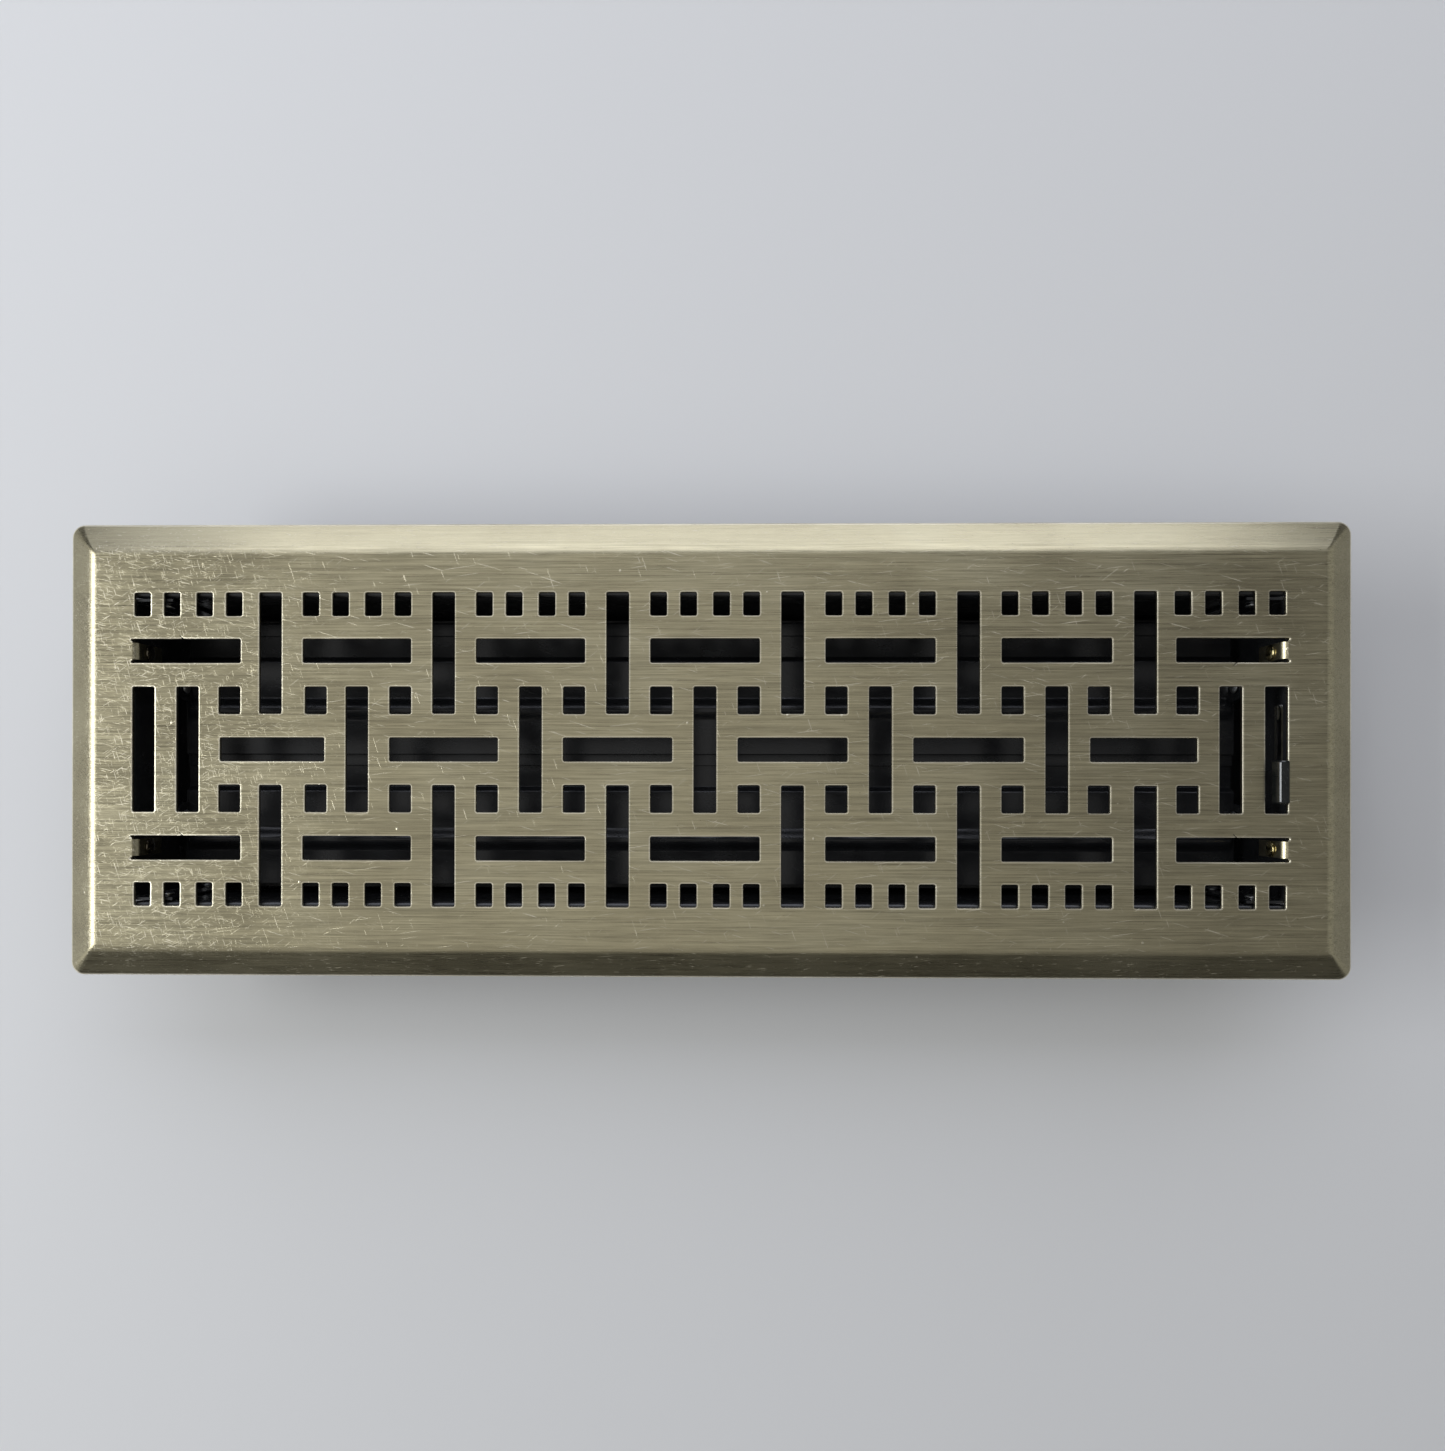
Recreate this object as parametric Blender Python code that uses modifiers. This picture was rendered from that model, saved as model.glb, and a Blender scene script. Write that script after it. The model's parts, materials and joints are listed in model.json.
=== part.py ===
"""A floor register: pierced faceplate over a damper box with two linked damper blades.

Metres, +Z up. The part stands on the lower edge of its damper box: the origin is at the
centre of that lower edge, +X runs along the register's length towards the operating lever,
and +Z points out of the face. The blades are modelled shut.
"""

import math

import bmesh
import bpy
from mathutils import Matrix, Vector

MM = 0.001

# Faceplate
PLATE_LENGTH = 393.7 * MM
PLATE_WIDTH = 139.7 * MM
PLATE_SHEET = 1.2 * MM
FACE_TOP = 47.0 * MM
RIM_RUN = 10.8 * MM
RIM_ANGLE = math.radians(30)
RIM_BEND_RADIUS = 6.6 * MM
RIM_LIP = 1.0 * MM
RIM_CORNER_RADIUS = 4.0 * MM
FLAT_CORNER_RADIUS = 0.6 * MM
FLAT_CORNER_STEP = 0.1 * MM

# Lattice: the pattern repeats along X and is the same on both sides of X = 0 and Y = 0
PITCH = 53.05 * MM
SLOT_WIDTH = 6.8 * MM
TALL_SLOT_END = 19.1 * MM
OUTER_SLOT_ENDS = (10.9 * MM, 47.8 * MM)
LONG_SLOT = (33.1 * MM, 7.3 * MM)
LONG_SLOT_ROW = 30.05 * MM
END_SLOT_ENDS = (141.8 * MM, 175.2 * MM)
MIDDLE_SLOT_HEIGHT = 7.2 * MM
MIDDLE_END_SLOT_ENDS = (116.1 * MM, 148.1 * MM)
SQUARE = (6.6 * MM, 8.3 * MM)
SQUARE_ROW = 14.95 * MM
SQUARE_OFFSET = 13.25 * MM
SQUARE_END_COLUMN = 131.95 * MM
SMALL_SLOT = (4.95 * MM, 7.1 * MM)
SMALL_SLOT_ROW = 44.25 * MM
SMALL_SLOT_OFFSETS = (5.0 * MM, 14.1 * MM)
SMALL_SLOT_END_COLUMN = 157.9 * MM
END_TALL_SLOTS = (158.1 * MM, 171.7 * MM)

# Tongues bent down from the outer ends of the four end slots
TONGUE_BEND_RADIUS = 0.5 * MM
TONGUE_DEPTH = 14.6 * MM
TONGUE_ROOT = 1.5 * MM

# Damper box
BOX_SHEET = 0.8 * MM
SHEET_BEND = 1.0 * MM
GAP = 0.3 * MM
SIDE_INNER = 46.5 * MM
BOX_LIP = 5.0 * MM
END_FLANGE = 12.0 * MM
WINDOW_HALF_WIDTH = 14.0 * MM
WINDOW_BELOW_FACE = (3.0 * MM, 8.0 * MM)

# Damper blades, in a section whose origin is the pivot
BLADE_SHEET = 0.7 * MM
BLADE_LENGTH = 341.6 * MM
PIVOT_Y = 21.25 * MM
PIVOT_Z = 24.0 * MM
BLADE_DROP = 3.0 * MM
BLADE_FREE_EDGE = -21.9 * MM
BLADE_HEM_EDGE = 20.6 * MM
BEAD_CENTRE = -7.2 * MM
BEAD_WIDTH = 6.5 * MM
BEAD_HEIGHT = 2.2 * MM
JOGGLE_START = 8.4 * MM
JOGGLE_RUN = 1.4 * MM
JOGGLE_DROP = 2.2 * MM
HEM_WIDTH = 3.7 * MM
HEM_PITCH = 0.9 * MM
EAR_SHEET = 0.8 * MM
EAR_RADIUS = 4.6 * MM
EAR_STEPS = 20

# Pivots and linkage
PIN_RADIUS = 1.5 * MM
PIN_HEAD = (2.3 * MM, 0.8 * MM)
PIN_TAIL = (2.3 * MM, 0.6 * MM)
BUSH_RADIUS = 3.5 * MM
CRANK_RADIUS = 15.0 * MM
CRANK_LEAN = math.radians(40)
CRANK_SHEET = 0.8 * MM
CRANK_EYE = 3.2 * MM
CRANK_HUB = 3.6 * MM
LINK_SHEET = 0.8 * MM
LINK_HEIGHT = 6.4 * MM
LINK_END_ROUND = 0.45
LEVER_WIDTH = 7.2 * MM
LEVER_STEP_Z = 39.8 * MM
LEVER_X = 171.7 * MM
LEVER_ABOVE_FACE = 3.6 * MM
LINK_RIVET_RADIUS = 1.2 * MM
LINK_RIVET_HEAD = (2.4 * MM, 0.5 * MM)

# Knob
KNOB_SIZE = (3.6 * MM, 13.0 * MM, 4.6 * MM)
KNOB_ABOVE_FACE = 0.5 * MM
KNOB_EDGE = 0.7 * MM

# Rivets that hold the box together
RIVET_RADIUS = 1.4 * MM
RIVET_HEAD = (2.4 * MM, 0.7 * MM)
TONGUE_RIVET_BELOW_FACE = 7.0 * MM
CORNER_RIVET_HEIGHTS = (("lower", 9.0 * MM), ("upper", 37.0 * MM))
CORNER_RIVET_X = 169.5 * MM

# How a rivet's crown is shaped, as shares of its head's radius and height
CROWN_FLAT = 0.75
CROWN_SHOULDER = 0.45

# How finely curves are divided, and how far a cutter runs past the sheet that it cuts
ROUND_STEPS = 14
CORNER_STEPS = 4
BEND_STEPS = 3
EYE_STEPS = 8
BEAD_STEPS = 6
CUTTER_LENGTH = 6.0 * MM
CUTTER_REACH = 2.0 * MM

# Planes that follow from the sizes above
UNDERSIDE = FACE_TOP - PLATE_SHEET
TONGUE_OUTER = END_SLOT_ENDS[1] - TONGUE_BEND_RADIUS
TONGUE_INNER = TONGUE_OUTER - PLATE_SHEET
END_INNER = TONGUE_OUTER + GAP
END_OUTER = END_INNER + BOX_SHEET
SIDE_OUTER = SIDE_INNER + BOX_SHEET
BLADE_END = BLADE_LENGTH / 2
CRANK_INNER = END_OUTER + GAP
CRANK_OUTER = CRANK_INNER + CRANK_SHEET
LINK_INNER = CRANK_OUTER + GAP
LINK_OUTER = LINK_INNER + LINK_SHEET
CRANK_PIN_DY = -CRANK_RADIUS * math.sin(CRANK_LEAN)
CRANK_PIN_DZ = CRANK_RADIUS * math.cos(CRANK_LEAN)

SIDES = (("front", -1), ("rear", 1))
ENDS = (("left", -1), ("right", 1))


def clear_scene():
    for obj in list(bpy.data.objects):
        bpy.data.objects.remove(obj, do_unlink=True)


def make_collection(name, hidden=False):
    collection = bpy.data.collections.new(name)
    bpy.context.scene.collection.children.link(collection)
    collection.hide_render = hidden
    return collection


def make_material(name, colour, roughness, metallic):
    material = bpy.data.materials.new(name)
    material.use_nodes = True
    shader = material.node_tree.nodes["Principled BSDF"]
    shader.inputs["Base Color"].default_value = (*colour, 1.0)
    shader.inputs["Roughness"].default_value = roughness
    shader.inputs["Metallic"].default_value = metallic
    return material


def add_object(name, data, material=None):
    """A new object in the register's collection, or in the cutters' one if it has no material."""
    obj = bpy.data.objects.new(name, data)
    if material is None:
        CUTTERS.objects.link(obj)
        obj.hide_render = True
        obj.display_type = "WIRE"
    else:
        PARTS.objects.link(obj)
        data.materials.append(material)
    return obj


def mesh_from(bm, name):
    bmesh.ops.recalc_face_normals(bm, faces=bm.faces)
    mesh = bpy.data.meshes.new(name)
    bm.to_mesh(mesh)
    bm.free()
    return mesh


def add_box(bm, low, high):
    """A box between two corners, added to an open bmesh."""
    low = Vector(low)
    high = Vector(high)
    place = Matrix.Translation((low + high) / 2) @ Matrix.Diagonal((*(high - low), 1.0))
    bmesh.ops.create_cube(bm, size=1.0, matrix=place)


def add_cylinder(bm, centre, radius, axis, length=CUTTER_LENGTH, steps=ROUND_STEPS):
    """A cylinder centred at a point, with its length along X or Y, added to an open bmesh."""
    turn = Matrix.Rotation(math.pi / 2, 4, "Y" if axis == "X" else "X")
    bmesh.ops.create_cone(
        bm,
        cap_ends=True,
        segments=steps,
        radius1=radius,
        radius2=radius,
        depth=length,
        matrix=Matrix.Translation(centre) @ turn,
    )


def boolean(obj, cutter, operation="DIFFERENCE"):
    modifier = obj.modifiers.new(operation.title() + " " + cutter.name, "BOOLEAN")
    modifier.object = cutter
    modifier.operation = operation
    modifier.solver = "EXACT"


def solidify(obj, thickness):
    modifier = obj.modifiers.new("Sheet", "SOLIDIFY")
    modifier.thickness = thickness
    modifier.offset = 0.0
    modifier.use_even_offset = True


def smooth(obj, angle=35):
    obj.data.shade_smooth()
    obj.data.set_sharp_from_angle(angle=math.radians(angle))


def arc(centre, radius, start, end, steps):
    """Points on an arc, both ends included, in degrees anticlockwise from the first axis."""
    points = []
    for i in range(steps + 1):
        angle = math.radians(start + (end - start) * i / steps)
        points.append((centre[0] + radius * math.cos(angle), centre[1] + radius * math.sin(angle)))
    return points


def swept_sheet(name, points, place, sweep, thickness, material):
    """A sheet-metal section: an open line of points, swept along a vector and given thickness.

    place turns a section point into a 3-D point at the start of the sweep.
    """
    bm = bmesh.new()
    verts = [bm.verts.new(place(*point)) for point in points]
    edges = [bm.edges.new(pair) for pair in zip(verts, verts[1:])]
    swept = bmesh.ops.extrude_edge_only(bm, edges=edges)["geom"]
    moved = [item for item in swept if isinstance(item, bmesh.types.BMVert)]
    bmesh.ops.translate(bm, verts=moved, vec=sweep)
    obj = add_object(name, mesh_from(bm, name), material)
    solidify(obj, thickness)
    return obj


def turned(name, profile, origin, direction, material):
    """A turned piece from (radius, height) points that run from the top down the outer side.

    The axis starts at origin and points along direction. Where the profile ends on the axis,
    the end is closed; a profile that returns to its first point is a ring.
    """
    bm = bmesh.new()
    verts = [bm.verts.new((radius, 0.0, height)) for radius, height in profile]
    for pair in zip(verts, verts[1:]):
        bm.edges.new(pair)
    if profile[0][0] > 0:
        bm.edges.new((verts[-1], verts[0]))
    mesh = bpy.data.meshes.new(name)
    bm.to_mesh(mesh)
    bm.free()
    obj = add_object(name, mesh, material)
    screw = obj.modifiers.new("Turn", "SCREW")
    screw.steps = ROUND_STEPS
    screw.render_steps = ROUND_STEPS
    screw.use_merge_vertices = True
    screw.merge_threshold = 0.00001
    obj.location = origin
    obj.rotation_mode = "QUATERNION"
    obj.rotation_quaternion = Vector(direction).to_track_quat("Z", "Y")
    return obj


def rivet_profile(length, shank, head, tail):
    """From the head's top down: head, shank of the given length, and a tail that may be flush."""
    head_radius, head_height = head
    points = [
        (0.0, head_height),
        (head_radius * CROWN_FLAT, head_height),
        (head_radius, head_height * CROWN_SHOULDER),
        (head_radius, 0.0),
        (shank, 0.0),
    ]
    if tail is None:
        return points + [(shank, -length), (0.0, -length)]
    tail_radius, tail_height = tail
    bottom = -length - tail_height
    return points + [(shank, -length), (tail_radius, -length), (tail_radius, bottom), (0.0, bottom)]


def lattice():
    """Every opening of the lattice as (centre x, centre y, width, height)."""
    openings = []
    columns = [i * PITCH for i in range(-2, 3)]
    half_columns = [(i + 0.5) * PITCH for i in range(-3, 3)]
    for x in columns:
        openings.append((x, 0.0, SLOT_WIDTH, 2 * TALL_SLOT_END))
    for end in (-1, 1):
        for x in END_TALL_SLOTS:
            openings.append((end * x, 0.0, SLOT_WIDTH, 2 * TALL_SLOT_END))
    for x in half_columns[1:-1]:
        openings.append((x, 0.0, LONG_SLOT[0], MIDDLE_SLOT_HEIGHT))
    for end in (-1, 1):
        near, far = MIDDLE_END_SLOT_ENDS
        openings.append((end * (near + far) / 2, 0.0, far - near, MIDDLE_SLOT_HEIGHT))
    for side in (-1, 1):
        near, far = OUTER_SLOT_ENDS
        for x in half_columns:
            openings.append((x, side * (near + far) / 2, SLOT_WIDTH, far - near))
        for x in columns:
            openings.append((x, side * LONG_SLOT_ROW, *LONG_SLOT))
        near, far = END_SLOT_ENDS
        for end in (-1, 1):
            openings.append((end * (near + far) / 2, side * LONG_SLOT_ROW, far - near, LONG_SLOT[1]))
        square_columns = half_columns[1:-1] + [-SQUARE_END_COLUMN, SQUARE_END_COLUMN]
        for x in square_columns:
            for offset in (-SQUARE_OFFSET, SQUARE_OFFSET):
                openings.append((x + offset, side * SQUARE_ROW, *SQUARE))
        small_columns = columns + [-SMALL_SLOT_END_COLUMN, SMALL_SLOT_END_COLUMN]
        for x in small_columns:
            for offset in SMALL_SLOT_OFFSETS:
                openings.append((x - offset, side * SMALL_SLOT_ROW, *SMALL_SLOT))
                openings.append((x + offset, side * SMALL_SLOT_ROW, *SMALL_SLOT))
    return openings


def ring(bm, inset, z, radius):
    """The plate's outline moved in by inset, with round corners, as new vertices."""
    half_x = PLATE_LENGTH / 2 - inset - radius
    half_y = PLATE_WIDTH / 2 - inset - radius
    points = []
    for start, sign_x, sign_y in ((0, 1, 1), (90, -1, 1), (180, -1, -1), (270, 1, -1)):
        centre = (sign_x * half_x, sign_y * half_y)
        points += arc(centre, radius, start, start + 90, CORNER_STEPS)
    return [bm.verts.new((x, y, z)) for x, y in points]


def rim_bend(radius):
    """The bend between the flat top and the slope, as rings on a skin of this bend radius."""
    rings = []
    for i in range(BEND_STEPS + 1):
        angle = RIM_ANGLE * i / BEND_STEPS
        inset = RIM_RUN - radius * math.sin(angle)
        z = FACE_TOP - RIM_BEND_RADIUS + radius * math.cos(angle)
        rings.append((inset, z, FLAT_CORNER_RADIUS + FLAT_CORNER_STEP * i))
    return rings


def faceplate_blank():
    """The plate before piercing: flat top, bend, sloping rim and a short upright lip.

    Its section runs out along the upper skin, round the lip, and back along the lower skin.
    """
    slope_run = RIM_RUN - RIM_BEND_RADIUS * math.sin(RIM_ANGLE)
    bend_drop = RIM_BEND_RADIUS * (1 - math.cos(RIM_ANGLE))
    lip_top = FACE_TOP - bend_drop - slope_run * math.tan(RIM_ANGLE)
    lip_bottom = lip_top - RIM_LIP
    lip_inner = lip_top + PLATE_SHEET * (math.tan(RIM_ANGLE) - 1 / math.cos(RIM_ANGLE))
    inner_corner = RIM_CORNER_RADIUS - PLATE_SHEET
    section = rim_bend(RIM_BEND_RADIUS)
    section.append((0.0, lip_top, RIM_CORNER_RADIUS))
    section.append((0.0, lip_bottom, RIM_CORNER_RADIUS))
    section.append((PLATE_SHEET, lip_bottom, inner_corner))
    section.append((PLATE_SHEET, lip_inner, inner_corner))
    section += reversed(rim_bend(RIM_BEND_RADIUS - PLATE_SHEET))
    bm = bmesh.new()
    loops = [ring(bm, *place) for place in section]
    for before, after in zip(loops, loops[1:]):
        for i in range(len(before)):
            bm.faces.new((before[i - 1], after[i - 1], after[i], before[i]))
    bm.faces.new(loops[0])
    bm.faces.new(reversed(loops[-1]))
    return mesh_from(bm, "faceplate")


def tongue(name, end, side):
    """The tongue at one end slot, bent down in an L from inside the plate's own sheet."""
    centre_line = PLATE_SHEET / 2
    bend = TONGUE_BEND_RADIUS + centre_line
    bend_z = UNDERSIDE - TONGUE_BEND_RADIUS
    points = [(END_SLOT_ENDS[1] + TONGUE_ROOT, UNDERSIDE + centre_line)]
    points += arc((END_SLOT_ENDS[1], bend_z), bend, 90, 180, BEND_STEPS + 1)
    points.append((END_SLOT_ENDS[1] - bend, FACE_TOP - TONGUE_DEPTH))
    y = side * LONG_SLOT_ROW - LONG_SLOT[1] / 2
    return swept_sheet(
        name,
        [(end * x, z) for x, z in points],
        lambda x, z: (x, y, z),
        (0.0, LONG_SLOT[1], 0.0),
        PLATE_SHEET,
        None,
    )


def faceplate():
    plate = add_object("faceplate", faceplate_blank(), BRASSED)
    bm = bmesh.new()
    for x, y, width, height in lattice():
        low = (x - width / 2, y - height / 2, UNDERSIDE - CUTTER_REACH)
        high = (x + width / 2, y + height / 2, FACE_TOP + CUTTER_REACH)
        add_box(bm, low, high)
    boolean(plate, add_object("lattice_cutter", mesh_from(bm, "lattice_cutter")))
    for end_name, end in ENDS:
        for side_name, side in SIDES:
            piece = tongue(f"tongue_{side_name}_{end_name}", end, side)
            boolean(plate, piece, "UNION")
    bm = bmesh.new()
    for _, end in ENDS:
        for _, side in SIDES:
            centre = (end * (TONGUE_INNER + TONGUE_OUTER) / 2, side * LONG_SLOT_ROW, tongue_rivet_z())
            add_cylinder(bm, centre, RIVET_RADIUS + GAP, "X")
    boolean(plate, add_object("tongue_hole_cutter", mesh_from(bm, "tongue_hole_cutter")))
    smooth(plate, 20)


def tongue_rivet_z():
    return FACE_TOP - TONGUE_RIVET_BELOW_FACE


def side_wall(side_name, side):
    """A long wall of the box: an upright sheet with a lip turned in along its lower edge."""
    centre = BOX_SHEET / 2
    wall_y = SIDE_INNER + centre
    bend = SHEET_BEND
    points = [(wall_y, UNDERSIDE - GAP)]
    points += arc((wall_y - bend, centre + bend), bend, 0, -90, BEND_STEPS)
    points.append((SIDE_INNER - BOX_LIP, centre))
    wall = swept_sheet(
        f"side_wall_{side_name}",
        points,
        lambda y, z: (-END_OUTER, side * y, z),
        (2 * END_OUTER, 0.0, 0.0),
        BOX_SHEET,
        BLACK_PAINT,
    )
    bm = bmesh.new()
    for _, end in ENDS:
        for _, z in CORNER_RIVET_HEIGHTS:
            add_cylinder(bm, (end * CORNER_RIVET_X, side * wall_y, z), RIVET_RADIUS + GAP, "Y")
    name = f"side_wall_{side_name}_cutter"
    boolean(wall, add_object(name, mesh_from(bm, name)))
    smooth(wall)


def end_wall(end_name, end):
    """A short wall of the box: a channel whose flanges lie inside the long walls."""
    centre = BOX_SHEET / 2
    flange_y = SIDE_INNER - GAP - centre
    wall_x = END_INNER + centre
    bend = SHEET_BEND
    low = BOX_SHEET + GAP
    points = [(wall_x - END_FLANGE, -flange_y)]
    points += arc((wall_x - bend, bend - flange_y), bend, -90, 0, BEND_STEPS)
    points += arc((wall_x - bend, flange_y - bend), bend, 0, 90, BEND_STEPS)
    points.append((wall_x - END_FLANGE, flange_y))
    wall = swept_sheet(
        f"end_wall_{end_name}",
        points,
        lambda x, y: (end * x, y, low),
        (0.0, 0.0, UNDERSIDE - GAP - low),
        BOX_SHEET,
        BLACK_PAINT,
    )
    bm = bmesh.new()
    for _, side in SIDES:
        add_cylinder(bm, (end * wall_x, side * PIVOT_Y, PIVOT_Z), PIN_RADIUS + GAP, "X")
        tongue_centre = (end * wall_x, side * LONG_SLOT_ROW, tongue_rivet_z())
        add_cylinder(bm, tongue_centre, RIVET_RADIUS + GAP, "X")
        for _, z in CORNER_RIVET_HEIGHTS:
            flange_centre = (end * CORNER_RIVET_X, side * flange_y, z)
            add_cylinder(bm, flange_centre, RIVET_RADIUS + GAP, "Y")
    if end > 0:
        upper, lower = WINDOW_BELOW_FACE
        add_box(
            bm,
            (END_INNER - CUTTER_REACH, -WINDOW_HALF_WIDTH, FACE_TOP - lower),
            (END_OUTER + CUTTER_REACH, WINDOW_HALF_WIDTH, FACE_TOP - upper),
        )
    name = f"end_wall_{end_name}_cutter"
    boolean(wall, add_object(name, mesh_from(bm, name)))
    smooth(wall)


def blade_section():
    """The pressed blade's centre line, from its free edge to its folded hem."""
    radius = (BEAD_WIDTH**2 / 4 + BEAD_HEIGHT**2) / (2 * BEAD_HEIGHT)
    reach = math.degrees(math.asin(BEAD_WIDTH / 2 / radius))
    flat = -BLADE_DROP
    low = flat - JOGGLE_DROP
    fold = HEM_PITCH / 2
    points = [(BLADE_FREE_EDGE, flat)]
    points += arc((BEAD_CENTRE, flat + BEAD_HEIGHT - radius), radius, 90 + reach, 90 - reach, BEAD_STEPS)
    points += [(JOGGLE_START, flat), (JOGGLE_START + JOGGLE_RUN, low)]
    points += arc((BLADE_HEM_EDGE, low + fold), fold, -90, 90, CORNER_STEPS)
    points.append((BLADE_HEM_EDGE - HEM_WIDTH, low + HEM_PITCH))
    return points


def blade(side_name, side):
    """A damper blade with an upright ear at each end; its origin is on its pivot axis."""
    name = f"blade_{side_name}"
    half = BLADE_END - EAR_SHEET / 2
    obj = swept_sheet(
        name,
        blade_section(),
        lambda y, z: (-half, y, z),
        (2 * half, 0.0, 0.0),
        BLADE_SHEET,
        BLACK_PAINT,
    )
    obj.location = (0.0, side * PIVOT_Y, PIVOT_Z)
    for end_name, end in ENDS:
        x = end * (BLADE_END - EAR_SHEET / 2)
        bm = bmesh.new()
        add_cylinder(bm, (x, 0.0, 0.0), EAR_RADIUS, "X", EAR_SHEET, EAR_STEPS)
        ear = add_object(f"{name}_ear_{end_name}", mesh_from(bm, name + "_ear"))
        bm = bmesh.new()
        foot = -BLADE_DROP - BLADE_SHEET / 4
        width = EAR_RADIUS * math.cos(math.pi / EAR_STEPS)
        add_box(bm, (x - EAR_SHEET / 2, -width, foot), (x + EAR_SHEET / 2, width, 0.0))
        ear_foot = add_object(f"{name}_ear_foot_{end_name}", mesh_from(bm, name + "_foot"))
        bm = bmesh.new()
        add_box(
            bm,
            (x - EAR_SHEET, -2 * EAR_RADIUS, foot - 2 * EAR_RADIUS),
            (x + EAR_SHEET, 2 * EAR_RADIUS, foot),
        )
        trim = add_object(f"{name}_ear_trim_{end_name}", mesh_from(bm, name + "_trim"))
        boolean(ear, ear_foot, "UNION")
        boolean(ear, trim)
        for helper in (ear, ear_foot, trim):
            helper.location = obj.location
        boolean(obj, ear, "UNION")
    bm = bmesh.new()
    for _, end in ENDS:
        add_cylinder(bm, (end * BLADE_END, 0.0, 0.0), PIN_RADIUS + GAP, "X")
    cutter = add_object(f"{name}_cutter", mesh_from(bm, name + "_cutter"))
    cutter.location = obj.location
    boolean(obj, cutter)
    smooth(obj)


def pivot(side_name, side, end_name, end):
    """A pin through the blade's ear and the end wall, and the bush that spaces them."""
    ear_inner = BLADE_END - EAR_SHEET
    head_face = ear_inner - GAP
    tail_face = LINK_INNER if end > 0 else END_OUTER + GAP
    turned(
        f"pivot_pin_{side_name}_{end_name}",
        rivet_profile(tail_face - head_face, PIN_RADIUS, PIN_HEAD, PIN_TAIL),
        (end * head_face, side * PIVOT_Y, PIVOT_Z),
        (-end, 0, 0),
        ZINC,
    )
    bush_length = END_INNER - BLADE_END - 2 * GAP
    bore = PIN_RADIUS + GAP
    turned(
        f"pivot_bush_{side_name}_{end_name}",
        [(bore, bush_length), (BUSH_RADIUS, bush_length), (BUSH_RADIUS, 0.0), (bore, 0.0)],
        (end * (BLADE_END + GAP), side * PIVOT_Y, PIVOT_Z),
        (end, 0, 0),
        NYLON,
    )


def crank(side_name, side):
    """The arm outside the right end wall; its origin is on the blade's pivot axis."""
    name = f"crank_{side_name}"
    lean = math.degrees(CRANK_LEAN)
    outline = arc((0.0, 0.0), CRANK_HUB, 180 + lean, 360 + lean, EYE_STEPS)
    outline += arc((CRANK_PIN_DY, CRANK_PIN_DZ), CRANK_EYE, lean, 180 + lean, EYE_STEPS)
    bm = bmesh.new()
    verts = [bm.verts.new((CRANK_INNER + CRANK_SHEET / 2, y, z)) for y, z in outline]
    bm.faces.new(verts)
    obj = add_object(name, mesh_from(bm, name), ZINC)
    obj.location = (0.0, side * PIVOT_Y, PIVOT_Z)
    solidify(obj, CRANK_SHEET)
    bm = bmesh.new()
    add_cylinder(bm, (CRANK_INNER, 0.0, 0.0), PIN_RADIUS + GAP, "X")
    pin = (CRANK_INNER, CRANK_PIN_DY, CRANK_PIN_DZ)
    add_cylinder(bm, pin, LINK_RIVET_RADIUS + GAP, "X")
    cutter = add_object(f"{name}_cutter", mesh_from(bm, name + "_cutter"))
    cutter.location = obj.location
    boolean(obj, cutter)
    smooth(obj)


def link_rivet(side_name, side):
    turned(
        f"link_rivet_{side_name}",
        rivet_profile(LINK_OUTER + GAP - CRANK_INNER, LINK_RIVET_RADIUS, LINK_RIVET_HEAD, None),
        (LINK_OUTER + GAP, side * PIVOT_Y + CRANK_PIN_DY, PIVOT_Z + CRANK_PIN_DZ),
        (1, 0, 0),
        ZINC,
    )


def lever_link():
    """One pressing: a bar across both cranks and, in its middle, a tongue that steps in
    through the end wall's window and rises through the lever slot. Its origin is on the
    rear crank's pin.
    """
    half_bar = PIVOT_Y
    half_lever = LEVER_WIDTH / 2
    bar_x = LINK_INNER + LINK_SHEET / 2
    pin_z = PIVOT_Z + CRANK_PIN_DZ
    bar_end = half_bar + CRANK_EYE
    bend = SHEET_BEND
    path = [(bar_x, pin_z - LINK_HEIGHT / 2), (bar_x, pin_z + LINK_HEIGHT / 2)]
    path += arc((bar_x - bend, LEVER_STEP_Z - bend), bend, 0, 90, BEND_STEPS)
    path += arc((LEVER_X + bend, LEVER_STEP_Z + bend), bend, 270, 180, BEND_STEPS)
    path.append((LEVER_X, FACE_TOP + LEVER_ABOVE_FACE))
    bm = bmesh.new()
    columns = (-bar_end, -half_lever, half_lever, bar_end)
    rows = []
    for i, (x, z) in enumerate(path):
        ys = columns if i < 2 else columns[1:3]
        rows.append([bm.verts.new((x - bar_x, y - half_bar, z - pin_z)) for y in ys])
    for i in range(3):
        bm.faces.new((rows[0][i], rows[0][i + 1], rows[1][i + 1], rows[1][i]))
    previous = rows[1][1:3]
    for row in rows[2:]:
        bm.faces.new((previous[0], previous[1], row[1], row[0]))
        previous = row
    corners = [rows[0][0], rows[0][-1], rows[1][0], rows[1][-1]]
    bmesh.ops.bevel(
        bm,
        geom=corners,
        offset=LINK_END_ROUND * LINK_HEIGHT,
        offset_type="OFFSET",
        segments=CORNER_STEPS,
        profile=0.5,
        affect="VERTICES",
    )
    obj = add_object("lever_link", mesh_from(bm, "lever_link"), ZINC)
    obj.location = (bar_x, PIVOT_Y + CRANK_PIN_DY, pin_z)
    solidify(obj, LINK_SHEET)
    bm = bmesh.new()
    for y in (0.0, -2 * PIVOT_Y):
        add_cylinder(bm, (0.0, y, 0.0), LINK_RIVET_RADIUS + GAP, "X")
    cutter = add_object("lever_link_cutter", mesh_from(bm, "lever_link_cutter"))
    cutter.location = obj.location
    boolean(obj, cutter)
    smooth(obj)


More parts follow.
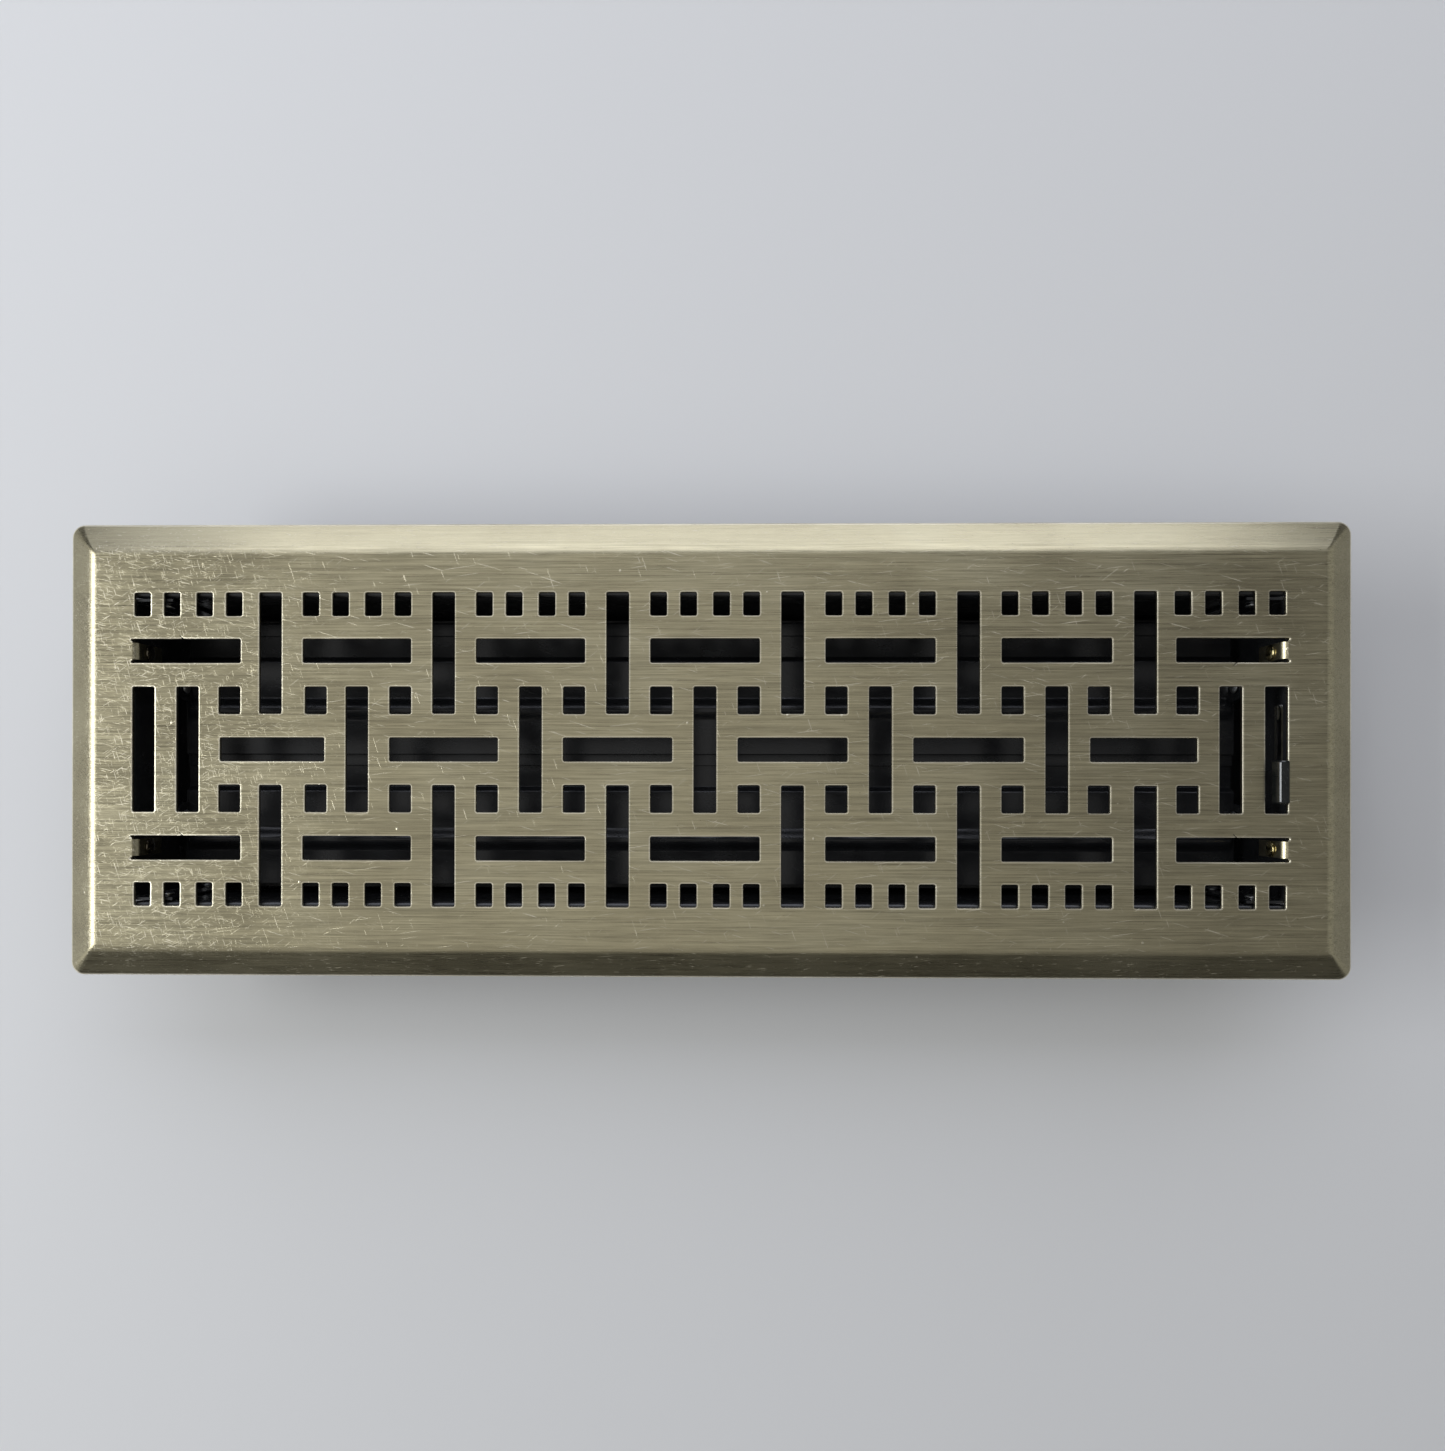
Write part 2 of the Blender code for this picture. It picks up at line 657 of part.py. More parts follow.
def lever_knob():
    """A moulded knob pushed over the lever, with a pocket that the lever sits in."""
    bm = bmesh.new()
    half_x, half_y, height = KNOB_SIZE[0] / 2, KNOB_SIZE[1] / 2, KNOB_SIZE[2]
    add_box(bm, (-half_x, -half_y, 0.0), (half_x, half_y, height))
    obj = add_object("lever_knob", mesh_from(bm, "lever_knob"), KNOB_PLASTIC)
    obj.location = (LEVER_X, CRANK_PIN_DY, FACE_TOP + KNOB_ABOVE_FACE)
    edge = obj.modifiers.new("Round edges", "BEVEL")
    edge.width = KNOB_EDGE
    edge.segments = 2
    pocket_x = LINK_SHEET / 2 + GAP
    pocket_y = LEVER_WIDTH / 2 + GAP
    pocket_top = LEVER_ABOVE_FACE - KNOB_ABOVE_FACE + GAP
    bm = bmesh.new()
    add_box(bm, (-pocket_x, -pocket_y, -CUTTER_REACH), (pocket_x, pocket_y, pocket_top))
    cutter = add_object("knob_pocket_cutter", mesh_from(bm, "knob_pocket_cutter"))
    cutter.location = obj.location
    boolean(obj, cutter)
    smooth(obj)


def tab_rivets():
    """Rivets that join each tongue to the end wall, flush on the outside."""
    for end_name, end in ENDS:
        for side_name, side in SIDES:
            face = TONGUE_INNER - GAP
            turned(
                f"tab_rivet_{side_name}_{end_name}",
                rivet_profile(END_OUTER - face, RIVET_RADIUS, RIVET_HEAD, None),
                (end * face, side * LONG_SLOT_ROW, tongue_rivet_z()),
                (-end, 0, 0),
                BRASSED,
            )


def corner_rivets():
    """Rivets that join the end walls' flanges to the long walls, flush on the outside."""
    face = SIDE_INNER - BOX_SHEET - 2 * GAP
    for end_name, end in ENDS:
        for side_name, side in SIDES:
            for level, z in CORNER_RIVET_HEIGHTS:
                turned(
                    f"corner_rivet_{side_name}_{end_name}_{level}",
                    rivet_profile(SIDE_OUTER - face, RIVET_RADIUS, RIVET_HEAD, None),
                    (end * CORNER_RIVET_X, side * face, z),
                    (0, -side, 0),
                    ZINC,
                )


clear_scene()
PARTS = make_collection("floor_register")
CUTTERS = make_collection("cutters", hidden=True)
BRASSED = make_material("antique_brass", (0.36, 0.31, 0.19), 0.38, 1.0)
BLACK_PAINT = make_material("black_paint", (0.02, 0.021, 0.02), 0.42, 0.0)
ZINC = make_material("zinc_plate", (0.52, 0.53, 0.54), 0.35, 1.0)
NYLON = make_material("black_nylon", (0.03, 0.03, 0.03), 0.55, 0.0)
KNOB_PLASTIC = make_material("knob_plastic", (0.015, 0.015, 0.016), 0.25, 0.0)

faceplate()
for wall_name, wall_side in SIDES:
    side_wall(wall_name, wall_side)
    blade(wall_name, wall_side)
    crank(wall_name, wall_side)
    link_rivet(wall_name, wall_side)
    for pivot_end_name, pivot_end in ENDS:
        pivot(wall_name, wall_side, pivot_end_name, pivot_end)
for wall_name, wall_end in ENDS:
    end_wall(wall_name, wall_end)
lever_link()
lever_knob()
tab_rivets()
corner_rivets()
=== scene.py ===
"""The looks of the floor register: fine meshes and procedural materials around the CAD frame.

Metres, in the CAD model's own frame: +X along the length towards the knob, +Y across, +Z out
of the face, and the box's lower edge on Z = 0.
"""

import json
import math

import bmesh
import bpy
from mathutils import Matrix, Vector

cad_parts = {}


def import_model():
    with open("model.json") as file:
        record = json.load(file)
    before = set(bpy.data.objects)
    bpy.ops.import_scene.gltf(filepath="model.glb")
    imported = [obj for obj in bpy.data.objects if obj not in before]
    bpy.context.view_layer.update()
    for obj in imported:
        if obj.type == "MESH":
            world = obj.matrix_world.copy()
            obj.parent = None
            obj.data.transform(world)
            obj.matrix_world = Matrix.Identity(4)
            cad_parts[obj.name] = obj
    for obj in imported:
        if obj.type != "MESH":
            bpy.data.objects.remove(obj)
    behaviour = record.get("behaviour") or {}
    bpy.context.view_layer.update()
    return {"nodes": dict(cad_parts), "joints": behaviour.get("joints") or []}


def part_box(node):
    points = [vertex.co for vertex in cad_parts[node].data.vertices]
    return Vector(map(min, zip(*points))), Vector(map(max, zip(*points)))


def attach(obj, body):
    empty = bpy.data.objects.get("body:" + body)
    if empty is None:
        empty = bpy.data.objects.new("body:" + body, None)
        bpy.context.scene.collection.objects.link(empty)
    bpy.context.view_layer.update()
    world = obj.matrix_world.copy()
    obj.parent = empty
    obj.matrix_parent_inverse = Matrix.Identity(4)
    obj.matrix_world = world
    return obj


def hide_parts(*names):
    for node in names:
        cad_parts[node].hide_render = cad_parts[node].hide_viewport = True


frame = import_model()

MM = 0.001
SIDES = (("front", -1), ("rear", 1))
ENDS = (("left", -1), ("right", 1))

# Places read from the frame
PLATE_LOW, PLATE_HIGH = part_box("faceplate")
FACE_TOP = PLATE_HIGH.z
SIDE_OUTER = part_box("side_wall_rear")[1].y
WALL_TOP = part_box("side_wall_rear")[1].z
END_LOW, END_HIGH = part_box("end_wall_right")
END_OUTER = END_HIGH.x
BLADE_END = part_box("blade_rear")[1].x
JOINT_PLACES = {joint["child"]: Vector(joint["pos_m"]) for joint in frame["joints"]}
PIVOT_Y = JOINT_PLACES["blade_rear"].y
PIVOT_Z = JOINT_PLACES["blade_rear"].z
LINK_PIN = JOINT_PLACES["lever"]
TAB_RIVET = sum(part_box("tab_rivet_rear_right"), Vector()) / 2
CORNER_RIVETS = [
    sum(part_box(f"corner_rivet_rear_right_{level}"), Vector()) / 2 for level in ("lower", "upper")
]

# The corners of a rectangle, anticlockwise: where each one's arc starts, and its side in X and Y
CORNERS = ((0, 1, 1), (90, -1, 1), (180, -1, -1), (270, 1, -1))

# The faceplate's sheet and rim
PLATE_SHEET = 1.2 * MM
UNDERSIDE = FACE_TOP - PLATE_SHEET
RIM_RUN = 10.8 * MM
RIM_DEGREES = 30
RIM_ANGLE = math.radians(RIM_DEGREES)
RIM_BEND_RADIUS = 6.6 * MM
RIM_BEND_STEPS = 8
RIM_LIP = 1.0 * MM
RIM_CORNER_RADIUS = 4.0 * MM
RIM_CORNER_STEPS = 8
RIM_MARGIN = 0.35 * MM
FLAT_CORNER_RADIUS = 0.7 * MM
FLAT_CORNER_GROWTH = 0.05 * MM
LIP_ROUND = 0.7 * MM
LIP_STEPS = 5
PLATE_SHARP_ANGLE = math.radians(28)

# Pierced openings: punched edges roll over at the top, and the end slots run into a tongue
OPENING_CORNER = 0.55 * MM
OPENING_STEPS = 5
ROLLOVER = 0.44 * MM
OPENING_RINGS = (
    (ROLLOVER, FACE_TOP),
    (ROLLOVER * 0.30, FACE_TOP - ROLLOVER * 0.07),
    (ROLLOVER * 0.07, FACE_TOP - ROLLOVER * 0.36),
    (0.0, FACE_TOP - ROLLOVER * 0.85),
    (0.0, UNDERSIDE),
)
# The first rings round each opening take the pale edge brass: worn plating with a painted highlight
# along the rolled edge.
WEAR_AND_HIGHLIGHT_STRIPS = 3
END_SLOT_LENGTH = 20 * MM
END_SLOT_REACH = 175.1 * MM
TONGUE_BEND = 0.5 * MM
TONGUE_BEND_STEPS = 8
TONGUE_FACET = 1.45
TONGUE_TIP_EASE = 0.15 * MM
TONGUE_KERF = 0.34 * MM
RELIEF_STRETCH = 1.25
NICK_FROM_ROOT = 15.5 * MM
NICK_MOUTH = (0.34 * MM, -0.26 * MM)
NICK_TIP = ((-0.66 * MM, 1.10 * MM), (-1.02 * MM, 0.98 * MM))

# The box's sheet steel
BOX_SHEET = 0.8 * MM
SHEET_BEND = 1.0 * MM
SHEET_BEND_STEPS = 8
BOX_LIP = 5.0 * MM
WALL_FLANGE = 2.0 * MM
END_FLANGE = 12.0 * MM
GAP = 0.3 * MM
WINDOW_HALF_WIDTH = 14.0 * MM
WINDOW_BELOW_FACE = (3.0 * MM, 8.0 * MM)
WINDOW_CORNER = 1.0 * MM
HOLE_RADIUS = 1.7 * MM
PIN_HOLE_RADIUS = 1.8 * MM
LINK_HOLE_RADIUS = 1.5 * MM
CUTTER_LENGTH = 6 * MM
FINE_HOLE_STEPS = 32
EDGE = 0.12 * MM

# The blades' section, about the pivot
BLADE_SHEET = 0.7 * MM
BLADE_DROP = 3.0 * MM
BLADE_FREE_EDGE = -21.9 * MM
BLADE_HEM_EDGE = 20.6 * MM
BEAD_CENTRE = -7.2 * MM
BEAD_WIDTH = 6.5 * MM
BEAD_FOOT = 1.25
BEAD_HEIGHT = 2.2 * MM
BEAD_STEPS = 24
BEAD_DOME = 4.2 * MM
BEAD_DOME_STEPS = 10
BEAD_FROM_END = 0.25 * MM
BEAD_TO_JOGGLE = 0.5 * MM
JOGGLE_START = 8.4 * MM
JOGGLE_RUN = 1.4 * MM
JOGGLE_DROP = 2.2 * MM
JOGGLE_BEND = 0.8 * MM
JOGGLE_TO_HEM = 2 * MM
HEM_WIDTH = 3.7 * MM
HEM_PITCH = 0.9 * MM
EAR_SHEET = 0.8 * MM
EAR_RADIUS = 4.6 * MM
EAR_FOOT = ((1.0 * MM, 0.0), (0.3 * MM, 0.3 * MM))

# Rivets and pins: shank radius, head (radius, height) and staked tail (radius, height)
PIVOT_PIN = (1.5 * MM, (2.3 * MM, 0.8 * MM), (2.3 * MM, 0.6 * MM))
WALL_RIVET = (1.4 * MM, (2.4 * MM, 0.7 * MM), None)
LINK_RIVET = (1.2 * MM, (2.4 * MM, 0.5 * MM), None)
SHANK_EASE = 0.1 * MM

# Linkage
CRANK_EYE = 3.2 * MM
CRANK_HUB = 3.6 * MM
LINK_SHEET = 0.8 * MM
LINK_HEIGHT = 6.4 * MM
LINK_ROUND = 0.45 * LINK_HEIGHT
LINK_EASE = 0.02 * MM
LEVER_EASE = 0.05 * MM
LEVER_WIDTH = 7.2 * MM
LEVER_STEP_Z = 39.8 * MM
LEVER_ABOVE_FACE = 3.6 * MM

# Knob: how far its soft ends draw in at the top, the crown's sides and the foot, and its ridges
KNOB_STEPS = 72
KNOB_CROWDING = 1.6
KNOB_END_ROUND = 0.75 * MM
KNOB_END_DRAW = (0.62 * MM, 0.45 * MM, 0.40 * MM)
KNOB_DRAFT = 0.30 * MM
KNOB_RIDGE = 0.05 * MM
KNOB_RIDGE_PITCH = 2.35 * MM
KNOB_PLAIN_END = 1.3 * MM
KNOB_RIDGE_FADE = 0.5 * MM
KNOB_SHOULDER = 0.42 * MM
KNOB_BULGE = 0.05 * MM
KNOB_WALL = 1.0 * MM

# Studio
CAMERA_PLACE = (4.8 * MM, -11.2 * MM, FACE_TOP + 330 * MM)
CAMERA_TURN = (0.093, 0.985, 0.079)
FLOOR_HALF_WIDTH = 1.8

# Soft boxes: name, lean towards X and Y in degrees from upright, distance in metres, half angles
# in X and Y in degrees, radiance and colour
WARM = (1.0, 0.99, 0.965)
LIGHTS = (
    ("ceiling_left", -27, -14, 1.5, (19, 38), 0.47, WARM),
    ("ceiling_middle", 1, -14, 1.5, (9, 38), 0.45, WARM),
    ("ceiling_right", 17, -14, 1.5, (7, 38), 0.31, WARM),
    ("ceiling_far_right", 34, -14, 1.5, (10, 38), 0.19, (1.0, 0.99, 0.98)),
    ("left_window", -62, 0, 1.7, (16, 24), 1.3, (0.98, 1.0, 1.01)),
    ("left_strip", -55, 0, 1.5, (8, 20), 7.0, (0.97, 1.0, 1.04)),
    ("left_low", -84, 0, 1.6, (6, 36), 0.45, (1.0, 1.0, 1.0)),
    ("rear_wall", -3, 57, 1.6, (34, 25), 1.75, (0.97, 1.01, 1.15)),
    ("right_wall", 66, 0, 1.7, (21, 32), 0.34, (0.98, 1.0, 1.0)),
)


# --- Material helpers ---

def rgba(value):
    """A colour, or one grey number, as four numbers."""
    return (*value, 1.0) if isinstance(value, tuple) else (value, value, value, 1.0)


class Finish:
    """A node material; each method adds nodes and returns the socket that they end in.

    A value may be a socket, a number, or a colour or vector tuple.
    """

    def __init__(self, name):
        self.material = bpy.data.materials.new(name)
        self.material.use_nodes = True
        self.nodes = self.material.node_tree.nodes
        self.links = self.material.node_tree.links
        self.shader = self.nodes["Principled BSDF"]

    def fill(self, node, values):
        """Links or sets the node's inputs, given by name or index."""
        for key, value in values.items():
            socket = node.inputs[key]
            if isinstance(value, bpy.types.NodeSocket):
                self.links.new(value, socket)
            elif socket.type == "RGBA":
                socket.default_value = rgba(value)
            else:
                socket.default_value = value

    def add(self, kind, values):
        node = self.nodes.new(kind)
        self.fill(node, values)
        return node

    def place(self, lengths, turn=0.0, shift=(0.0, 0.0, 0.0)):
        """The piece's own coordinates, turned about Z, with cells of these lengths in mm."""
        own = self.add("ShaderNodeTexCoord", {}).outputs["Object"]
        turned = {"Vector": own, "Location": shift, "Rotation": (0.0, 0.0, math.radians(turn))}
        vector = self.add("ShaderNodeMapping", turned).outputs["Vector"]
        stretched = {"Vector": vector, "Scale": tuple(1 / (length * MM) for length in lengths)}
        return self.add("ShaderNodeMapping", stretched).outputs["Vector"]

    def noise(self, place, detail, roughness, distortion=0.0):
        values = {"Vector": place, "Scale": 1.0, "Detail": detail}
        values |= {"Roughness": roughness, "Distortion": distortion}
        return self.add("ShaderNodeTexNoise", values).outputs["Fac"]

    def cells(self, place):
        """Voronoi cells: the distance from each one's middle, and its own random number."""
        texture = self.add("ShaderNodeTexVoronoi", {"Vector": place, "Scale": 1.0})
        split = self.add("ShaderNodeSeparateColor", {"Color": texture.outputs["Color"]})
        return texture.outputs["Distance"], split.outputs["Red"]

    def ramp(self, value, *stops):
        """A colour ramp from (position, colour) stops; a colour may be one grey number."""
        node = self.add("ShaderNodeValToRGB", {"Fac": value})
        elements = node.color_ramp.elements
        while len(elements) < len(stops):
            elements.new(0.5)
        for element, (position, colour) in zip(elements, stops):
            element.position = position
            element.color = rgba(colour)
        return node.outputs["Color"]

    def mix(self, kind, factor, a, b):
        node = self.nodes.new("ShaderNodeMix")
        node.data_type = "RGBA"
        node.blend_type = kind
        self.fill(node, {0: factor, 6: a, 7: b})
        return node.outputs[2]

    def math(self, operation, *values):
        node = self.nodes.new("ShaderNodeMath")
        node.operation = operation
        self.fill(node, dict(enumerate(values)))
        return node.outputs[0]

    def along(self, axis, start, end):
        """0 at start and 1 at end along one of the piece's own axes, held beyond them."""
        own = self.add("ShaderNodeTexCoord", {}).outputs["Object"]
        split = self.add("ShaderNodeSeparateXYZ", {0: own})
        span = {"Value": split.outputs[axis], "From Min": start, "From Max": end}
        return self.add("ShaderNodeMapRange", span).outputs["Result"]

    def bump(self, height, strength, distance, previous=None):
        """A bump of this distance in mm, on top of the previous one."""
        values = {"Height": height, "Strength": strength, "Distance": distance * MM}
        if previous is not None:
            values["Normal"] = previous
        return self.add("ShaderNodeBump", values).outputs["Normal"]

    def scratches(self, turn, shift, length, width, amount):
        """Sparse straight marks along one direction, sizes in mm: 1 on a mark, else 0."""
        lines = self.noise(self.place((length, width, width), turn, shift), 1.0, 0.4)
        return self.ramp(lines, (amount, 0.0), (amount + 0.035, 1.0))

    def nicks(self, spacing, radius, share, shift):
        """Small dents in a share of the cells, spacing in mm: 1 inside a dent, else 0."""
        distance, number = self.cells(self.place((spacing,) * 3, 0.0, shift))
        inside = self.ramp(distance, (radius * 0.6, 1.0), (radius, 0.0))
        return self.math("MULTIPLY", inside, self.math("LESS_THAN", number, share))

    def finish(self, values):
        """Fills the shader's inputs and returns the material."""
        self.fill(self.shader, values)
        return self.material


# --- Materials ---

BRASS_TONES = (
    (0.28, (0.415, 0.371, 0.244)),
    (0.50, (0.472, 0.426, 0.281)),
    (0.74, (0.520, 0.475, 0.322)),
)
# Pale tones for the rolled edges: worn plating and a painted highlight.
EDGE_WEAR_AND_HIGHLIGHT_TONES = ((0.30, (0.70, 0.64, 0.47)), (0.70, (0.88, 0.83, 0.66)))
BARE_BRASS = (0.66, 0.61, 0.47)
DENT_BRASS = (0.70, 0.65, 0.50)
PORE_BROWN = (0.20, 0.17, 0.10)

# Handling marks (turn, shift, length, width, amount), and the turn and shift of shorter ones
# near the left end
MARKS = (
    (17.0, (0.031, 0.012, 0.0), 9, 0.30, 0.735),
    (-38.0, (0.11, 0.07, 0.0), 6, 0.26, 0.75),
    (71.0, (0.27, 0.19, 0.0), 7, 0.30, 0.755),
    (-8.0, (0.41, 0.33, 0.0), 14, 0.28, 0.73),
)
LEFT_MARKS = ((-33.0, (0.53, 0.05, 0.0)), (74.0, (0.09, 0.47, 0.0)), (14.0, (0.61, 0.29, 0.0)))


def antique_brass(name, worn_edge_highlight=False):
    """Antique brass plate on steel, brushed along X, lacquered, with handling marks.

    The finish is more mottled and darker towards the left end.
    """
    brass = Finish(name)
    fine = brass.noise(brass.place((18, 0.17, 0.17)), 3.0, 0.62)
    broad = brass.noise(brass.place((34, 0.75, 0.75)), 3.0, 0.6, 0.15)
    mottle = brass.noise(brass.place((5.5, 0.9, 0.9), 2.0), 4.0, 0.62, 0.3)
    cloud = brass.noise(brass.place((38, 24, 24)), 3.0, 0.55)
    wear = brass.along("X", -95 * MM, -172 * MM)
    flat = brass.along("Z", FACE_TOP - 2.0 * MM, FACE_TOP - 0.3 * MM)
    handled = brass.math("MULTIPLY", wear, flat)

    # The rolled edges get the pale edge tones: partly worn plating, partly a painted highlight.
    colour = brass.ramp(cloud, *(EDGE_WEAR_AND_HIGHLIGHT_TONES if worn_edge_highlight else BRASS_TONES))
    brushed = brass.math("MULTIPLY_ADD", flat, 0.6, 0.4)
    streak = brass.ramp(fine, (0.32, 0.70), (0.50, 1.0), (0.68, 1.18))
    colour = brass.mix("MULTIPLY", brushed, colour, streak)
    band = brass.ramp(broad, (0.30, 0.80), (0.50, 1.0), (0.70, 1.13))
    colour = brass.mix("MULTIPLY", brushed, colour, band)
    if not worn_edge_highlight:
        smear = brass.ramp(mottle, (0.34, 0.74), (0.50, 1.0), (0.66, 1.20))
        amount = brass.math("MULTIPLY_ADD", handled, 0.62, 0.10)
        colour = brass.mix("MULTIPLY", amount, colour, smear)
        left_end_darkening = brass.ramp(wear, (0.45, 1.0), (0.85, 0.78))
        colour = brass.mix("MULTIPLY", 1.0, colour, left_end_darkening)

    marks = brass.scratches(*MARKS[0])
    for mark in MARKS[1:]:
        marks = brass.mix("LIGHTEN", 1.0, marks, brass.scratches(*mark))
    for turn, shift in LEFT_MARKS:
        more = brass.scratches(turn, shift, 4.5, 0.27, 0.685)
        more = brass.mix("MULTIPLY", 1.0, more, handled)
        marks = brass.mix("LIGHTEN", 1.0, marks, more)
    dents = brass.nicks(7.5, 0.055, 0.34, (0.013, 0.021, 0.007))
    pores = brass.nicks(2.3, 0.07, 0.16, (0.05, 0.04, 0.02))
    for mask, tone in ((marks, BARE_BRASS), (dents, DENT_BRASS), (pores, PORE_BROWN)):
        colour = brass.mix("MIX", mask, colour, tone)

    rough_line = brass.ramp(fine, (0.32, 0.25), (0.68, 0.34))
    rough_cloud = brass.ramp(cloud, (0.3, 0.94), (0.7, 1.10))
    rough = brass.mix("MULTIPLY", 1.0, rough_line, rough_cloud)
    rough = brass.mix("MIX", marks, rough, 0.50)

    tangent = brass.add("ShaderNodeTangent", {})
    tangent.direction_type = "UV_MAP"
    tangent.uv_map = "grain"
    normal = brass.bump(fine, 0.35, 0.012)
    normal = brass.bump(mottle, 0.35, 0.03, normal)
    normal = brass.bump(marks, 0.5, 0.03, normal)
    normal = brass.bump(dents, 0.7, 0.08, normal)
    return brass.finish({
        "Base Color": colour,
        "Roughness": rough,
        "Metallic": 1.0,
        "Anisotropic": 0.35,
        "Anisotropic Rotation": 0.25,
        "Coat Weight": 0.12,
        "Coat Roughness": 0.22,
        "Tangent": tangent.outputs["Tangent"],
        "Normal": normal,
    })


def black_enamel(name):
    """Semi-gloss black enamel on sheet steel: faint orange peel, dust and rub marks."""
    enamel = Finish(name)
    peel = enamel.noise(enamel.place((1.1,) * 3), 2.0, 0.5)
    dust = enamel.noise(enamel.place((13, 5, 7), 6.0), 4.0, 0.6)
    colour = enamel.ramp(dust, (0.38, (0.010, 0.0105, 0.012)), (0.72, (0.017, 0.018, 0.019)))
    specks = enamel.nicks(3.1, 0.055, 0.22, (0.02, 0.015, 0.01))
    colour = enamel.mix("MIX", specks, colour, (0.055, 0.054, 0.051))
    rubs = enamel.scratches(24.0, (0.08, 0.03, 0.0), 12, 0.5, 0.76)
    colour = enamel.mix("MIX", rubs, colour, (0.030, 0.030, 0.029))
    normal = enamel.bump(specks, 0.4, 0.05, enamel.bump(peel, 0.28, 0.05))
    return enamel.finish({
        "Base Color": colour,
        "Roughness": enamel.ramp(dust, (0.35, 0.22), (0.75, 0.30)),
        "Specular IOR Level": 0.56,
        "Normal": normal,
    })


def zinc_plate(name, tones, rough_range):
    """Bright plate with a fine spangle, slightly dulled in patches."""
    plate = Finish(name)
    _, spangle = plate.cells(plate.place((0.9,) * 3))
    patches = plate.noise(plate.place((3,) * 3), 4.0, 0.6)
    colour = plate.ramp(patches, (0.3, tones[0]), (0.72, tones[1]))
    shade = plate.ramp(spangle, (0.0, 0.90), (1.0, 1.06))
    return plate.finish({
        "Base Color": plate.mix("MULTIPLY", 1.0, colour, shade),
        "Roughness": plate.ramp(patches, (0.3, rough_range[0]), (0.75, rough_range[1])),
        "Metallic": 1.0,
        "Normal": plate.bump(patches, 0.25, 0.03),
    })


def moulded_plastic(name, tones, rough_range, grain, coat):
    """Moulded plastic: a fine grain, patches of gloss and small handling scratches."""
    plastic = Finish(name)
    fine = plastic.noise(plastic.place((grain,) * 3), 3.0, 0.55)
    patches = plastic.noise(plastic.place((4,) * 3), 3.0, 0.5)
    colour = plastic.ramp(patches, (0.3, tones[0]), (0.7, tones[1]))
    marks = plastic.scratches(62.0, (0.02, 0.05, 0.0), 3, 0.09, 0.72)
    rough = plastic.ramp(patches, (0.3, rough_range[0]), (0.7, rough_range[1]))
    return plastic.finish({
        "Base Color": plastic.mix("MIX", marks, colour, (0.075, 0.075, 0.072)),
        "Roughness": plastic.mix("MIX", marks, rough, 0.55),
        "Coat Weight": coat,
        "Coat Roughness": 0.08,
        "Normal": plastic.bump(fine, 0.2, 0.02),
    })


# --- Mesh helpers ---

def directions(start, end, steps):
    """(cosine, sine) at even steps between two angles in degrees, both ends included."""
    angles = [math.radians(start + (end - start) * i / steps) for i in range(steps + 1)]
    return [(math.cos(angle), math.sin(angle)) for angle in angles]


def arc(centre, radius, start, end, steps):
    """Points on an arc in degrees, both ends included."""
    around = directions(start, end, steps)
    return [(centre[0] + radius * x, centre[1] + radius * y) for x, y in around]


def rounded_rectangle(centre, half_x, half_y, radius, steps):
    """A rectangle's outline with round corners, anticlockwise."""
    points = []
    for start, side_x, side_y in CORNERS:
        x = centre[0] + side_x * (half_x - radius)
        y = centre[1] + side_y * (half_y - radius)
        points += arc((x, y), radius, start, start + 90, steps)
    return points


def fillet(points, radius, steps):
    """The same open line with each inner corner turned into an arc of the given radius."""
    rounded = [points[0]]
    for before, corner, after in zip(points, points[1:], points[2:]):
        corner = Vector(corner)
        back = (Vector(before) - corner).normalized()
        ahead = (Vector(after) - corner).normalized()
        half = back.angle(ahead) / 2
        centre = corner + (back + ahead).normalized() * radius / math.sin(half)
        first = (corner + back * radius / math.tan(half) - centre).normalized()
        last = (corner + ahead * radius / math.tan(half) - centre).normalized()
        for i in range(steps + 1):
            rounded.append(tuple(centre + first.slerp(last, i / steps).normalized() * radius))
    return [*rounded, points[-1]]


def sheet_loop(points, thickness, ease=EDGE):
    """A sheet's closed outline around its centre line, with both ends' corners eased."""
    centres = [Vector(point) for point in points]
    steps = [(b - a).normalized() for a, b in zip(centres, centres[1:])]
    left, right = [], []
    for i, centre in enumerate(centres):
        before = steps[max(i - 1, 0)]
        after = steps[min(i, len(steps) - 1)]
        along = (before + after).normalized()
        normal = Vector((-along.y, along.x))
        reach = thickness / 2 / normal.dot(Vector((-after.y, after.x)))
        left.append(centre + normal * reach)
        right.append(centre - normal * reach)

    def eased(side, index):
        """The point at which an end's corner meets its sheared face."""
        across = (side[index] - centres[index]).normalized()
        return centres[index] + across * (thickness / 2 - ease)

    first, last = steps[0] * ease, steps[-1] * ease
    return [
        eased(left, 0), left[0] + first, *left[1:-1], left[-1] - last, eased(left, -1),
        eased(right, -1), right[-1] - last, *right[-2:0:-1], right[0] + first, eased(right, 0),
    ]


def bent_sheet(line, thickness, ease=EDGE):
    """The outline of a sheet bent at each corner of an open line."""
    return sheet_loop(fillet(line, SHEET_BEND, SHEET_BEND_STEPS), thickness, ease)


def to_mesh(bm, name):
    """A mesh with its faces looking out."""
    bmesh.ops.recalc_face_normals(bm, faces=bm.faces)
    mesh = bpy.data.meshes.new(name)
    bm.to_mesh(mesh)
    bm.free()
    return mesh


def loft_mesh(sections, name):
    """A closed solid through closed loops of 3-D points that all have the same count."""
    bm = bmesh.new()
    rings = [[bm.verts.new(point) for point in section] for section in sections]
    for a, b in zip(rings, rings[1:]):
        for i in range(len(a)):
            bm.faces.new((a[i - 1], b[i - 1], b[i], a[i]))
    bm.faces.new(rings[0])
    bm.faces.new(reversed(rings[-1]))
    return to_mesh(bm, name)


def swept_mesh(loop, place, start, end, name, ease=EDGE):
    """A prism: place(u, v, t) puts a section point at t along it. Rings lie ease from its ends."""
    stations = (start, start + ease, end - ease, end)
    return loft_mesh([[place(*point, t) for point in loop] for t in stations], name)


